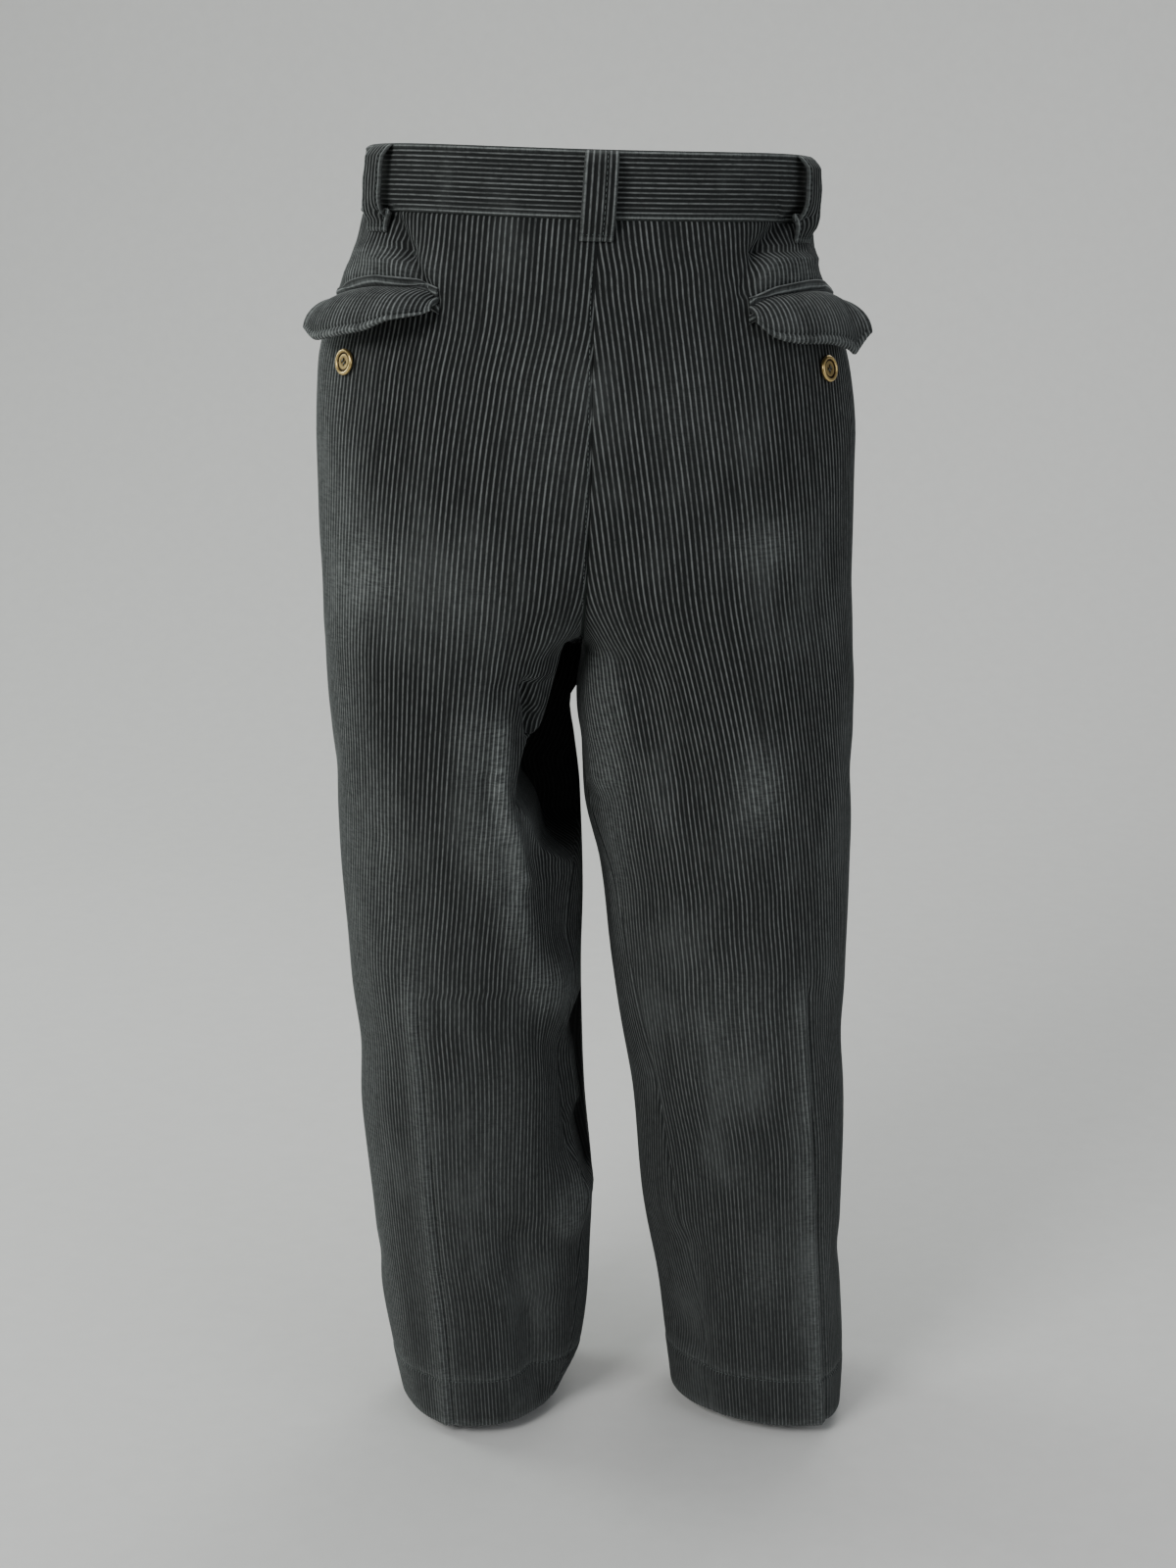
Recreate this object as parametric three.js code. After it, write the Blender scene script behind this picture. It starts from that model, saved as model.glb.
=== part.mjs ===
// Corduroy trousers, filled out as if worn, with no wearer inside.
// Millimetres, +Z up, +Y to the wearer's front, +X to the wearer's right.
// The origin is the middle of the waist ring, level with the top of the waistband at the back.
import * as THREE from 'three';

// ---- Driving dimensions -------------------------------------------------
const CLOTH = 2.0; // wall of one layer of corduroy
const SEAM_GAP = 0.3; // air left between neighbouring pieces
const LENGTH = 950; // waist to hem
const CROTCH = -350; // level where the two legs part
const BAND_HEIGHT = 44.5;
const BAND_PROUD = 0.8; // how far the waistband stands outside the panels
const BAND_WALL = 3.2;
const FRONT_DROP = 30; // the waist ring sits this much lower at the front
const SIDE_TILT = -0.027; // the ring also leans down to the right, mm per mm across
const DROP_FULL = -60; // levels between which drop and tilt die away
const DROP_NONE = -260;

const LOOP_WIDTH = 21;
const LOOP_WALL = 2.2;
const LOOP_TOP = -0.6;
const LOOP_LENGTH = 58;
const LOOP_STAND = 8.2; // greatest air behind a belt loop
const LOOP_SEAT = 0.7; // air under a loop's lower end

const LIP_HEIGHT = 6;
const LIP_WALL = 1.8;
const LIP_SEAT = 0.9; // air between a lip and the curved panel
const FLAP_WALL = 3.4; // doubled cloth
const FLAP_SEAT = 1.2; // air between the flap's root and the panel
const FLAP_BEND_ROOM = 1.2; // more air above the lower lip, where the flap bends down
const BUTTON = { radius: 9, thickness: 3.6, rim: 1.8, dish: 1.1, seat: 0.1 };
const WAIST_BUTTON = { radius: 8.5, thickness: 3.2, rim: 1.6, dish: 0.9, seat: 0.8 };
const FLY = { width: 36, top: -46, bottom: -215, round: 45, wall: 1.6 };

// One row for each level down the garment: the outer and inner edge of each side (across, x),
// the back and front (depth, y), how far each half has closed into a leg of its own (split, 0 to 1),
// how far the seams have turned round the leg (twist, degrees) and how far the front of the leg
// leans in and its back leans out (toe and heel, mm).
const SECTIONS = [
  { level: 0, leftOuter: -155, leftInner: 5, rightInner: 5, rightOuter: 152,
    back: -114, front: 108, split: 0, leftTwist: 0, rightTwist: 0,
    leftToe: 0, rightToe: 0, leftHeel: 0, rightHeel: 0 },
  { level: -45, leftOuter: -160, leftInner: 4, rightInner: 4, rightOuter: 153,
    back: -117, front: 110, split: 0, leftTwist: 0, rightTwist: 0,
    leftToe: 0, rightToe: 0, leftHeel: 0, rightHeel: 0 },
  { level: -72, leftOuter: -167, leftInner: 2.5, rightInner: 2.5, rightOuter: 156,
    back: -120, front: 111, split: 0, leftTwist: 0, rightTwist: 0,
    leftToe: 0, rightToe: 0, leftHeel: 0, rightHeel: 0 },
  { level: -95, leftOuter: -177, leftInner: 1, rightInner: 1, rightOuter: 167,
    back: -123, front: 113, split: 0, leftTwist: 0, rightTwist: 0,
    leftToe: 0, rightToe: 0, leftHeel: 0, rightHeel: 0 },
  { level: -150, leftOuter: -193, leftInner: 0, rightInner: 0, rightOuter: 181,
    back: -130, front: 115, split: 0.02, leftTwist: 0, rightTwist: 0,
    leftToe: 0, rightToe: 0, leftHeel: 0, rightHeel: 0 },
  { level: -205, leftOuter: -196, leftInner: -1, rightInner: -1, rightOuter: 186,
    back: -135, front: 115, split: 0.1, leftTwist: 0, rightTwist: 0,
    leftToe: 0, rightToe: 0, leftHeel: 0, rightHeel: 0 },
  { level: -260, leftOuter: -196, leftInner: -3, rightInner: -3, rightOuter: 186,
    back: -132, front: 113, split: 0.28, leftTwist: 0, rightTwist: 0,
    leftToe: 0, rightToe: 0, leftHeel: 0, rightHeel: 0 },
  { level: -300, leftOuter: -195, leftInner: -5, rightInner: -5, rightOuter: 186,
    back: -124, front: 110, split: 0.52, leftTwist: 0, rightTwist: 0,
    leftToe: 0, rightToe: 0, leftHeel: 0, rightHeel: 0 },
  { level: -328, leftOuter: -195, leftInner: -7, rightInner: -7, rightOuter: 187,
    back: -117, front: 108, split: 0.8, leftTwist: 0, rightTwist: 0,
    leftToe: 0, rightToe: 0, leftHeel: 0, rightHeel: 0 },
  { level: CROTCH, leftOuter: -194, leftInner: -8.3, rightInner: -7.7, rightOuter: 188,
    back: -112, front: 106, split: 1, leftTwist: 0, rightTwist: 0,
    leftToe: 0, rightToe: 0, leftHeel: 0, rightHeel: 0 },
  { level: -385, leftOuter: -193, leftInner: -12.9, rightInner: -12.1, rightOuter: 190,
    back: -105, front: 101, split: 1, leftTwist: 2, rightTwist: 2,
    leftToe: 2, rightToe: 0, leftHeel: 0, rightHeel: 0 },
  { level: -397, leftOuter: -192.5, leftInner: -17, rightInner: -11.6, rightOuter: 190,
    back: -103.5, front: 100, split: 1, leftTwist: 3, rightTwist: 3.5,
    leftToe: 3, rightToe: 0, leftHeel: 0, rightHeel: 0 },
  { level: -425, leftOuter: -191, leftInner: -13.5, rightInner: -7.5, rightOuter: 191,
    back: -101, front: 98, split: 1, leftTwist: 6, rightTwist: 8,
    leftToe: 5, rightToe: 1, leftHeel: 0, rightHeel: 1 },
  { level: -465, leftOuter: -188, leftInner: -8.5, rightInner: -6.2, rightOuter: 192,
    back: -97, front: 95, split: 1, leftTwist: 12, rightTwist: 15,
    leftToe: 8, rightToe: 2, leftHeel: 0, rightHeel: 2 },
  { level: -520, leftOuter: -186, leftInner: -6.8, rightInner: 5, rightOuter: 191,
    back: -93, front: 92, split: 1, leftTwist: 19, rightTwist: 25,
    leftToe: 12, rightToe: 4, leftHeel: 1, rightHeel: 4 },
  { level: -615, leftOuter: -181, leftInner: -9, rightInner: 16, rightOuter: 190,
    back: -87, front: 87, split: 1, leftTwist: 24, rightTwist: 34,
    leftToe: 18, rightToe: 8, leftHeel: 2, rightHeel: 9 },
  { level: -700, leftOuter: -177, leftInner: -6, rightInner: 30, rightOuter: 191,
    back: -83, front: 85, split: 1, leftTwist: 25, rightTwist: 37,
    leftToe: 23, rightToe: 11, leftHeel: 3, rightHeel: 13 },
  { level: -780, leftOuter: -171, leftInner: -1, rightInner: 38, rightOuter: 191,
    back: -80, front: 83, split: 1, leftTwist: 25, rightTwist: 40,
    leftToe: 27, rightToe: 13, leftHeel: 4, rightHeel: 17 },
  { level: -860, leftOuter: -165, leftInner: -4, rightInner: 51, rightOuter: 193,
    back: -78, front: 81, split: 1, leftTwist: 25, rightTwist: 42,
    leftToe: 31, rightToe: 15, leftHeel: 5, rightHeel: 20 },
  { level: -908, leftOuter: -158, leftInner: -9, rightInner: 57, rightOuter: 195,
    back: -77, front: 79, split: 1, leftTwist: 25, rightTwist: 43,
    leftToe: 28, rightToe: 16, leftHeel: 5, rightHeel: 22 },
  { level: -LENGTH, leftOuter: -150, leftInner: -27, rightInner: 62, rightOuter: 194,
    back: -76, front: 78, split: 1, leftTwist: 25, rightTwist: 43,
    leftToe: 10, rightToe: 16, leftHeel: 0, rightHeel: 22 },
];

// The largest folds. A fold runs between two places on one face of the garment, given by their
// distance across (x on the back and front, y on the outer side of a leg) and level.
// Rise is how far it stands out, less than 0 for a trough, and reach is its half width.
const FOLDS = [
  { face: 'back', side: -1, across: -30, level: -380, toAcross: -42, toLevel: -462, rise: -20, reach: 25 },
  { face: 'back', side: -1, across: -42, level: -480, toAcross: -26, toLevel: -540, rise: -19, reach: 24 },
  { face: 'back', side: -1, across: -78, level: -400, toAcross: -68, toLevel: -480, rise: 6, reach: 20 },
  { face: 'back', side: -1, across: -68, level: -480, toAcross: -30, toLevel: -600, rise: 6, reach: 18 },
  { face: 'back', side: -1, across: -17, level: -650, toAcross: -10, toLevel: -730, rise: -11, reach: 20 },
  { face: 'back', side: -1, across: -8, level: -765, toAcross: -22, toLevel: -790, rise: 4, reach: 16 },
  { face: 'back', side: -1, across: -54, level: -800, toAcross: -42, toLevel: -915, rise: -8, reach: 18 },
  { face: 'back', side: 1, across: 66, level: -815, toAcross: 74, toLevel: -890, rise: -5, reach: 16 },
  { face: 'back', side: 1, across: 62, level: -430, toAcross: 40, toLevel: -372, rise: -5, reach: 20 },
  { face: 'back', side: -1, across: -172, level: -84, toAcross: -112, toLevel: -78, rise: 5, reach: 13 },
  { face: 'back', side: 1, across: 165, level: -86, toAcross: 108, toLevel: -80, rise: 5, reach: 13 },
  { face: 'back', side: 1, across: 128, level: -50, toAcross: 98, toLevel: -80, rise: -5, reach: 12 },
  { face: 'back', side: -1, across: -134, level: -50, toAcross: -116, toLevel: -74, rise: -3, reach: 11 },
  { face: 'back', side: -1, across: -130, level: -610, toAcross: -109, toLevel: -950, rise: 2.5, reach: 12 },
  { face: 'back', side: 1, across: 153, level: -610, toAcross: 173, toLevel: -950, rise: 2.5, reach: 12 },
  { face: 'front', side: -1, across: -18, level: -372, toAcross: -72, toLevel: -440, rise: -9, reach: 20 },
  { face: 'front', side: 1, across: 6, level: -372, toAcross: 62, toLevel: -446, rise: -9, reach: 20 },
  { face: 'front', side: -1, across: -60, level: -350, toAcross: -150, toLevel: -330, rise: -5, reach: 18 },
  { face: 'front', side: 1, across: 48, level: -350, toAcross: 140, toLevel: -326, rise: -5, reach: 18 },
  { face: 'front', side: -1, across: -140, level: -640, toAcross: -60, toLevel: -668, rise: -5, reach: 18 },
  { face: 'front', side: 1, across: 160, level: -650, toAcross: 80, toLevel: -676, rise: -5, reach: 18 },
  { face: 'front', side: -1, across: -60, level: -560, toAcross: -26, toLevel: -950, rise: 3, reach: 12 },
  { face: 'front', side: 1, across: 70, level: -560, toAcross: 92, toLevel: -950, rise: 3, reach: 12 },
  { face: 'front', side: -1, across: -130, level: -846, toAcross: -50, toLevel: -872, rise: -6, reach: 18 },
  { face: 'front', side: 1, across: 160, level: -850, toAcross: 90, toLevel: -880, rise: -6, reach: 18 },
  { face: 'outer', side: -1, across: -50, level: -640, toAcross: 45, toLevel: -690, rise: -3, reach: 28 },
  { face: 'outer', side: 1, across: -50, level: -630, toAcross: 45, toLevel: -684, rise: -3, reach: 28 },
  { face: 'outer', side: -1, across: 40, level: -150, toAcross: 10, toLevel: -300, rise: -4, reach: 20 },
  { face: 'outer', side: 1, across: 40, level: -150, toAcross: 10, toLevel: -300, rise: -4, reach: 20 },
];

// Each hip pocket: where its mouth lies across the back (x) and up (z), from its outer to its
// inner end, and how far the flap's free edge stands out from there and hangs below it.
const POCKET_MOUTHS = {
  left: [
    { along: 0, across: -174, up: -105, out: 24, hang: 18 },
    { along: 0.25, across: -161, up: -98, out: 28, hang: 30 },
    { along: 0.5, across: -139, up: -93, out: 30, hang: 27 },
    { along: 0.75, across: -120, up: -93, out: 31, hang: 18 },
    { along: 0.9, across: -109, up: -95, out: 24, hang: 12 },
    { along: 1, across: -102, up: -98, out: 12, hang: 5 },
  ],
  right: [
    { along: 0, across: 163, up: -106, out: 28, hang: 22 },
    { along: 0.25, across: 155, up: -100, out: 24, hang: 37 },
    { along: 0.5, across: 141, up: -98, out: 23, hang: 32 },
    { along: 0.75, across: 122, up: -99, out: 21, hang: 28 },
    { along: 0.9, across: 111, up: -102, out: 17, hang: 20 },
    { along: 1, across: 104, up: -105, out: 9, hang: 7 },
  ],
};
const POCKET_BUTTONS = { left: { across: -167, up: -143 }, right: { across: 159, up: -148 } };

// ---- Materials ----------------------------------------------------------
function finish(color, roughness, metalness = 0) {
  return () => new THREE.MeshStandardMaterial({ color, roughness, metalness });
}
const corduroy = finish(0x2b3433, 0.95);
const brass = finish(0x9a7f48, 0.3, 0.9);

// ---- Curves through the tables ------------------------------------------
// A smooth curve through the rows that never overshoots them (monotone cubic).
function curveThrough(rows, key, column) {
  const xs = rows.map((row) => row[key]);
  const ys = rows.map((row) => row[column]);
  const steps = xs.slice(1).map((x, i) => (ys[i + 1] - ys[i]) / (x - xs[i]));
  const slopes = xs.map((_, i) => {
    if (i === 0) return steps[0];
    if (i === xs.length - 1) return steps[i - 1];
    const before = steps[i - 1];
    const after = steps[i];
    return before * after <= 0 ? 0 : (2 * before * after) / (before + after);
  });
  const rising = xs[1] > xs[0];
  return (x) => {
    let i = 0;
    while (i < xs.length - 2 && (rising ? x > xs[i + 1] : x < xs[i + 1])) i += 1;
    const width = xs[i + 1] - xs[i];
    const t = (x - xs[i]) / width;
    if (t < 0) return ys[i] + slopes[i] * (x - xs[i]);
    if (t > 1) return ys[i + 1] + slopes[i + 1] * (x - xs[i + 1]);
    const t2 = t * t;
    const t3 = t2 * t;
    return ys[i] * (2 * t3 - 3 * t2 + 1) + ys[i + 1] * (3 * t2 - 2 * t3)
      + width * (slopes[i] * (t3 - 2 * t2 + t) + slopes[i + 1] * (t3 - t2));
  };
}

const shape = {};
for (const column of Object.keys(SECTIONS[0])) {
  if (column !== 'level') shape[column] = curveThrough(SECTIONS, 'level', column);
}

function smoothStep(from, to, value) {
  const t = Math.min(1, Math.max(0, (value - from) / (to - from)));
  return t * t * (3 - 2 * t);
}

const nameOf = (side) => (side < 0 ? 'left' : 'right');

// ---- The cloth surface ---------------------------------------------------
// side is -1 for the left half and 1 for the right one. turn goes round that half in radians:
// 0 at the outer side, positive over the back and negative over the front.
function endTurn(level) {
  return Math.acos(-Math.min(1, Math.max(0, shape.split(level))));
}

function middle(level) {
  return (shape.leftInner(level) + shape.rightInner(level)) / 2;
}

function bare(side, turn, level) {
  const name = nameOf(side);
  const outer = shape[`${name}Outer`](level);
  const inner = shape[`${name}Inner`](level);
  const split = Math.min(1, Math.max(0, shape.split(level)));
  const half = (side * (outer - inner)) / (1 + split);
  const back = shape.back(level);
  const front = shape.front(level);
  const sine = Math.sin(turn);
  const lean = sine > 0 ? shape[`${name}Heel`](level) : -shape[`${name}Toe`](level);
  const x = inner + side * (split * half + half * Math.cos(turn) + lean * sine * sine);
  const y = (back + front) / 2 - ((front - back) / 2) * sine;
  const drop = smoothStep(DROP_NONE, DROP_FULL, level);
  const fromBack = (y - back) / (front - back);
  const z = level + drop * (SIDE_TILT * x - FRONT_DROP * fromBack * fromBack);
  return new THREE.Vector3(x, y, z);
}

function outward(side, turn, level) {
  const along = bare(side, turn + 0.01, level).sub(bare(side, turn - 0.01, level));
  const up = bare(side, turn, level + 1).sub(bare(side, turn, level - 1));
  return along.cross(up).multiplyScalar(side > 0 ? 1 : -1).normalize().negate();
}

const FACES = {
  back: { facing: (n) => -n.y, across: (p) => p.x },
  front: { facing: (n) => n.y, across: (p) => p.x },
  outer: { facing: (n, side) => n.x * side, across: (p) => p.y },
};

// How far the folds move the cloth at a point, along its normal.
function relief(side, point, normal) {
  let rise = 0;
  for (const fold of FOLDS) {
    if (fold.side !== side) continue;
    const face = FACES[fold.face];
    const shown = smoothStep(0, 0.45, face.facing(normal, side));
    if (shown === 0) continue;
    const run = new THREE.Vector2(fold.toAcross - fold.across, fold.toLevel - fold.level);
    const here = new THREE.Vector2(face.across(point) - fold.across, point.z - fold.level);
    const length = run.length();
    const t = here.dot(run) / (length * length);
    const beyond = Math.max(0, -t, t - 1) * length;
    const aside = here.cross(run) / length;
    const distance = Math.hypot(aside, beyond) / fold.reach;
    rise += fold.rise * shown * Math.exp(-distance * distance);
  }
  return rise;
}

function cloth(side, turn, level, out = 0) {
  const point = bare(side, turn, level);
  const normal = outward(side, turn, level);
  return point.addScaledVector(normal, relief(side, point, normal) + out);
}

// How many millimetres of cloth one radian of turn covers.
function girth(side, turn, level) {
  return bare(side, turn + 0.01, level).distanceTo(bare(side, turn - 0.01, level)) / 0.02;
}

// The turn and level of the back's point with a given x and z.
function backPlace(side, across, up) {
  const name = nameOf(side);
  let level = up;
  let turn = 0;
  for (let pass = 0; pass < 6; pass += 1) {
    const inner = shape[`${name}Inner`](level);
    const half = side * (shape[`${name}Outer`](level) - inner);
    turn = Math.acos(Math.min(1, Math.max(0, (side * (across - inner)) / half)));
    level += up - bare(side, turn, level).z;
  }
  return { turn, level };
}

// ---- Closed solids from two faces ---------------------------------------
// over(i, j) and under(i, j) give the two faces of a sheet of (columns + 1) x (rows + 1) points.
function closedSheet(columns, rows, over, under) {
  const positions = [];
  const index = [];
  const put = (p) => positions.push(p.x, p.y, p.z);
  for (const face of [over, under]) {
    for (let j = 0; j <= rows; j += 1) {
      for (let i = 0; i <= columns; i += 1) put(face(i, j));
    }
  }
  const stride = columns + 1;
  const layer = stride * (rows + 1);
  const quad = (a, b, c, d) => index.push(a, b, c, a, c, d);
  for (let j = 0; j < rows; j += 1) {
    for (let i = 0; i < columns; i += 1) {
      const a = j * stride + i;
      quad(a, a + 1, a + 1 + stride, a + stride);
      quad(layer + a, layer + a + stride, layer + a + stride + 1, layer + a + 1);
    }
  }
  for (let i = 0; i < columns; i += 1) {
    const last = rows * stride + i;
    quad(i, layer + i, layer + i + 1, i + 1);
    quad(last, last + 1, layer + last + 1, layer + last);
  }
  for (let j = 0; j < rows; j += 1) {
    const first = j * stride;
    const last = first + columns;
    quad(first, first + stride, layer + first + stride, layer + first);
    quad(last, layer + last, layer + last + stride, last + stride);
  }
  if (signedVolume(positions, index) < 0) index.reverse();
  const geometry = new THREE.BufferGeometry();
  geometry.setAttribute('position', new THREE.Float32BufferAttribute(positions, 3));
  geometry.setIndex(index);
  return geometry;
}

function signedVolume(positions, index) {
  const corner = (k) => new THREE.Vector3().fromArray(positions, 3 * index[k]);
  let volume = 0;
  for (let k = 0; k < index.length; k += 3) {
    volume += corner(k).dot(corner(k + 1).cross(corner(k + 2))) / 6;
  }
  return volume;
}

// A sheet of even thickness about a middle surface given by two numbers from 0 to 1.
function slab(columns, rows, thickness, surface) {
  const face = (sign) => (i, j) => {
    const u = i / columns;
    const v = j / rows;
    const step = 1e-3;
    const du = surface(u + step, v).sub(surface(u - step, v));
    const dv = surface(u, v + step).sub(surface(u, v - step));
    const normal = du.cross(dv).normalize();
    return surface(u, v).addScaledVector(normal, (sign * thickness) / 2);
  };
  return closedSheet(columns, rows, face(1), face(-1));
}

// ---- Panels --------------------------------------------------------------
const PANEL_COLUMNS = 14;
const ROW_STEP = 28; // rows lie closer together where the legs part and under the pockets
const CROTCH_ROW_STEP = 9;
const CROTCH_ZONE = 60;
const POCKET_ROW_STEP = 11;
const POCKET_FLOOR = -125;

function panelLevels() {
  const top = -BAND_HEIGHT - SEAM_GAP;
  const levels = [top];
  let level = top;
  while (level > -LENGTH) {
    const near = Math.min(1, Math.abs(level - CROTCH) / CROTCH_ZONE);
    const step = CROTCH_ROW_STEP + (ROW_STEP - CROTCH_ROW_STEP) * near;
    level -= level > POCKET_FLOOR ? POCKET_ROW_STEP : step;
    levels.push(level);
  }
  const stretch = (LENGTH + top) / (top - levels[levels.length - 1]);
  return levels.map((row) => top - (top - row) * stretch);
}

// Keeps a point on its own side of the middle, half a seam gap away.
function keepAside(side, level, point) {
  const limit = middle(level) + (side * SEAM_GAP) / 2;
  if (side * (point.x - limit) < 0) point.x = limit;
  return point;
}

function panelTurn(side, face, share, level) {
  const twist = THREE.MathUtils.degToRad(shape[`${nameOf(side)}Twist`](level));
  const end = endTurn(level);
  const inset = SEAM_GAP / 2 / girth(side, face * share * end - twist, level);
  return face * (inset + share * (end - 2 * inset)) - twist;
}

function panel(side, face) {
  const levels = panelLevels();
  const point = (out) => (i, j) => {
    const turn = panelTurn(side, face, i / PANEL_COLUMNS, levels[j]);
    return keepAside(side, levels[j], cloth(side, turn, levels[j], out));
  };
  return closedSheet(PANEL_COLUMNS, levels.length - 1, point(0), point(-CLOTH));
}

// ---- Waistband and belt loops ---------------------------------------------
function waistband(side) {
  const columns = 26;
  const rows = 2;
  const point = (out) => (i, j) => {
    const level = (-BAND_HEIGHT * j) / rows;
    const turn = (Math.PI / 2) * (1 - (2 * i) / columns);
    return keepAside(side, level, cloth(side, turn, level, out));
  };
  return closedSheet(columns, rows, point(BAND_PROUD), point(BAND_PROUD - BAND_WALL));
}

// How far a loop's inner face stands off the cloth, down its length.
const LOOP_PROFILE = [
  { down: 0, off: BAND_PROUD + SEAM_GAP },
  { down: 4, off: 0.62 * LOOP_STAND },
  { down: 9, off: LOOP_STAND },
  { down: 24, off: LOOP_STAND + 0.5 },
  { down: 39, off: LOOP_STAND },
  { down: 46, off: 0.8 * LOOP_STAND },
  { down: 51, off: 0.35 * LOOP_STAND },
  { down: LOOP_LENGTH, off: LOOP_SEAT },
];

// place(across, level) gives the side and turn of a spot a few millimetres across from the loop.
function beltLoop(place) {
  const columns = 2;
  const standOff = curveThrough(LOOP_PROFILE, 'down', 'off');
  const rows = 16;
  const point = (wall) => (i, j) => {
    const level = LOOP_TOP - (LOOP_LENGTH * j) / rows;
    const spot = place(LOOP_WIDTH * (i / columns - 0.5), level);
    return cloth(spot.side, spot.turn, level, standOff((LOOP_LENGTH * j) / rows) + wall);
  };
  return closedSheet(columns, rows, point(LOOP_WALL), point(0));
}

function loopAt(side, degrees) {
  const centre = THREE.MathUtils.degToRad(degrees);
  return beltLoop((across, level) => (
    { side, turn: centre + across / girth(side, centre, level) }
  ));
}

// The centre-back loop leans a little, top to the right, and crosses the middle.
const BACK_LOOP_LEAN = 0.04;
function backLoop() {
  return beltLoop((across, level) => {
    const x = across + 0.5 + BACK_LOOP_LEAN * (level + LOOP_LENGTH / 2);
    const side = x < 0 ? -1 : 1;
    return { side, turn: Math.PI / 2 - Math.abs(x) / girth(side, Math.PI / 2, level) };
  });
}

// ---- Hip pockets -----------------------------------------------------------
function pocketMouth(side) {
  const rows = POCKET_MOUTHS[nameOf(side)];
  const mouth = {};
  for (const column of ['across', 'up', 'out', 'hang']) {
    mouth[column] = curveThrough(rows, 'along', column);
  }
  return mouth;
}

function onBack(side, across, up, out) {
  const place = backPlace(side, across, up);
  return cloth(side, place.turn, place.level, out);
}

// A lip of the pocket: a narrow strip above (rise 1) or below (rise -1) the mouth.
function pocketLip(side, rise) {
  const mouth = pocketMouth(side);
  const gap = FLAP_WALL / 2 + SEAM_GAP + (rise < 0 ? FLAP_BEND_ROOM : 0);
  const columns = 12;
  const rows = 2;
  const point = (out, round) => (i, j) => {
    const along = i / columns;
    const up = mouth.up(along) + rise * (gap + (LIP_HEIGHT * j) / rows);
    const crown = j === 1 ? round : 0;
    return onBack(side, mouth.across(along), up, out + crown);
  };
  return closedSheet(columns, rows, point(LIP_SEAT + LIP_WALL, 0.5), point(LIP_SEAT, 0));
}

// The flap leaves the mouth straight out and bends down towards its free edge.
function pocketFlap(side) {
  const mouth = pocketMouth(side);
  const surface = (along, v) => {
    const across = mouth.across(along);
    const place = backPlace(side, across, mouth.up(along));
    const root = cloth(side, place.turn, place.level, FLAP_SEAT);
    const away = outward(side, place.turn, place.level).setZ(0).normalize();
    const bend = (v * Math.PI) / 2;
    root.addScaledVector(away, mouth.out(along) * Math.sin(bend));
    root.z -= mouth.hang(along) * (1 - Math.cos(bend));
    return root;
  };
  return slab(12, 6, FLAP_WALL, surface);
}

// ---- Buttons ----------------------------------------------------------------
function button(size, centre, normal) {
  const { radius, thickness, rim, dish } = size;
  const profile = [
    [0, 0], [radius * 0.8, 0], [radius, thickness * 0.45], [radius * 0.97, thickness * 0.85],
    [radius - rim / 2, thickness], [radius - rim, thickness * 0.9],
    [radius - 2 * rim, thickness - dish], [0, thickness - dish],
  ].map(([r, height]) => new THREE.Vector2(r, height));
  const geometry = new THREE.LatheGeometry(profile, 18);
  const turned = new THREE.Quaternion().setFromUnitVectors(new THREE.Vector3(0, 1, 0), normal);
  geometry.applyQuaternion(turned);
  geometry.translate(centre.x, centre.y, centre.z);
  return geometry;
}

function pocketButton(side) {
  const { across, up } = POCKET_BUTTONS[nameOf(side)];
  const place = backPlace(side, across, up);
  const centre = cloth(side, place.turn, place.level, BUTTON.seat);
  return button(BUTTON, centre, outward(side, place.turn, place.level));
}

function waistButton() {
  const side = -1;
  const level = -BAND_HEIGHT / 2;
  const turn = -Math.PI / 2 + 14 / girth(side, -Math.PI / 2, level);
  const centre = cloth(side, turn, level, BAND_PROUD + WAIST_BUTTON.seat);
  return button(WAIST_BUTTON, centre, outward(side, turn, level));
}

// ---- Fly ----------------------------------------------------------------------
// The lap over the zip: a strip on the left front whose lower outer corner is rounded off.
function flyPlacket() {
  const side = -1;
  const columns = 4;
  const rows = 12;
  const point = (out) => (i, j) => {
    const level = FLY.top + ((FLY.bottom - FLY.top) * j) / rows;
    const into = Math.max(0, FLY.bottom + FLY.round - level) / FLY.round;
    const width = FLY.width * Math.sqrt(Math.max(0.02, 1 - into * into));
    const aside = 0.4 + (width * i) / columns;
    const turn = -endTurn(level) + aside / girth(side, -endTurn(level), level);
    return cloth(side, turn, level, out);
  };
  return closedSheet(columns, rows, point(SEAM_GAP + FLY.wall), point(SEAM_GAP));
}

// ---- Assembly -------------------------------------------------------------------
const trousers = new THREE.Group();
function add(name, geometry, material) {
  const mesh = new THREE.Mesh(geometry, material());
  mesh.name = name;
  trousers.add(mesh);
}

const SIDE_LOOP_TURN = { left: 26, right: 22 }; // degrees behind the outer side
const FRONT_LOOP_TURN = -62;

for (const side of [-1, 1]) {
  const name = nameOf(side);
  add(`back_${name}`, panel(side, 1), corduroy);
  add(`front_${name}`, panel(side, -1), corduroy);
  add(`waistband_${name}`, waistband(side), corduroy);
  add(`belt_loop_side_${name}`, loopAt(side, SIDE_LOOP_TURN[name]), corduroy);
  add(`belt_loop_front_${name}`, loopAt(side, FRONT_LOOP_TURN), corduroy);
  add(`pocket_welt_upper_${name}`, pocketLip(side, 1), corduroy);
  add(`pocket_welt_lower_${name}`, pocketLip(side, -1), corduroy);
  add(`pocket_flap_${name}`, pocketFlap(side), corduroy);
  add(`pocket_button_${name}`, pocketButton(side), brass);
}
add('belt_loop_back', backLoop(), corduroy);
add('fly_placket', flyPlacket(), corduroy);
add('waist_button', waistButton(), brass);

export default trousers;
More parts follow.
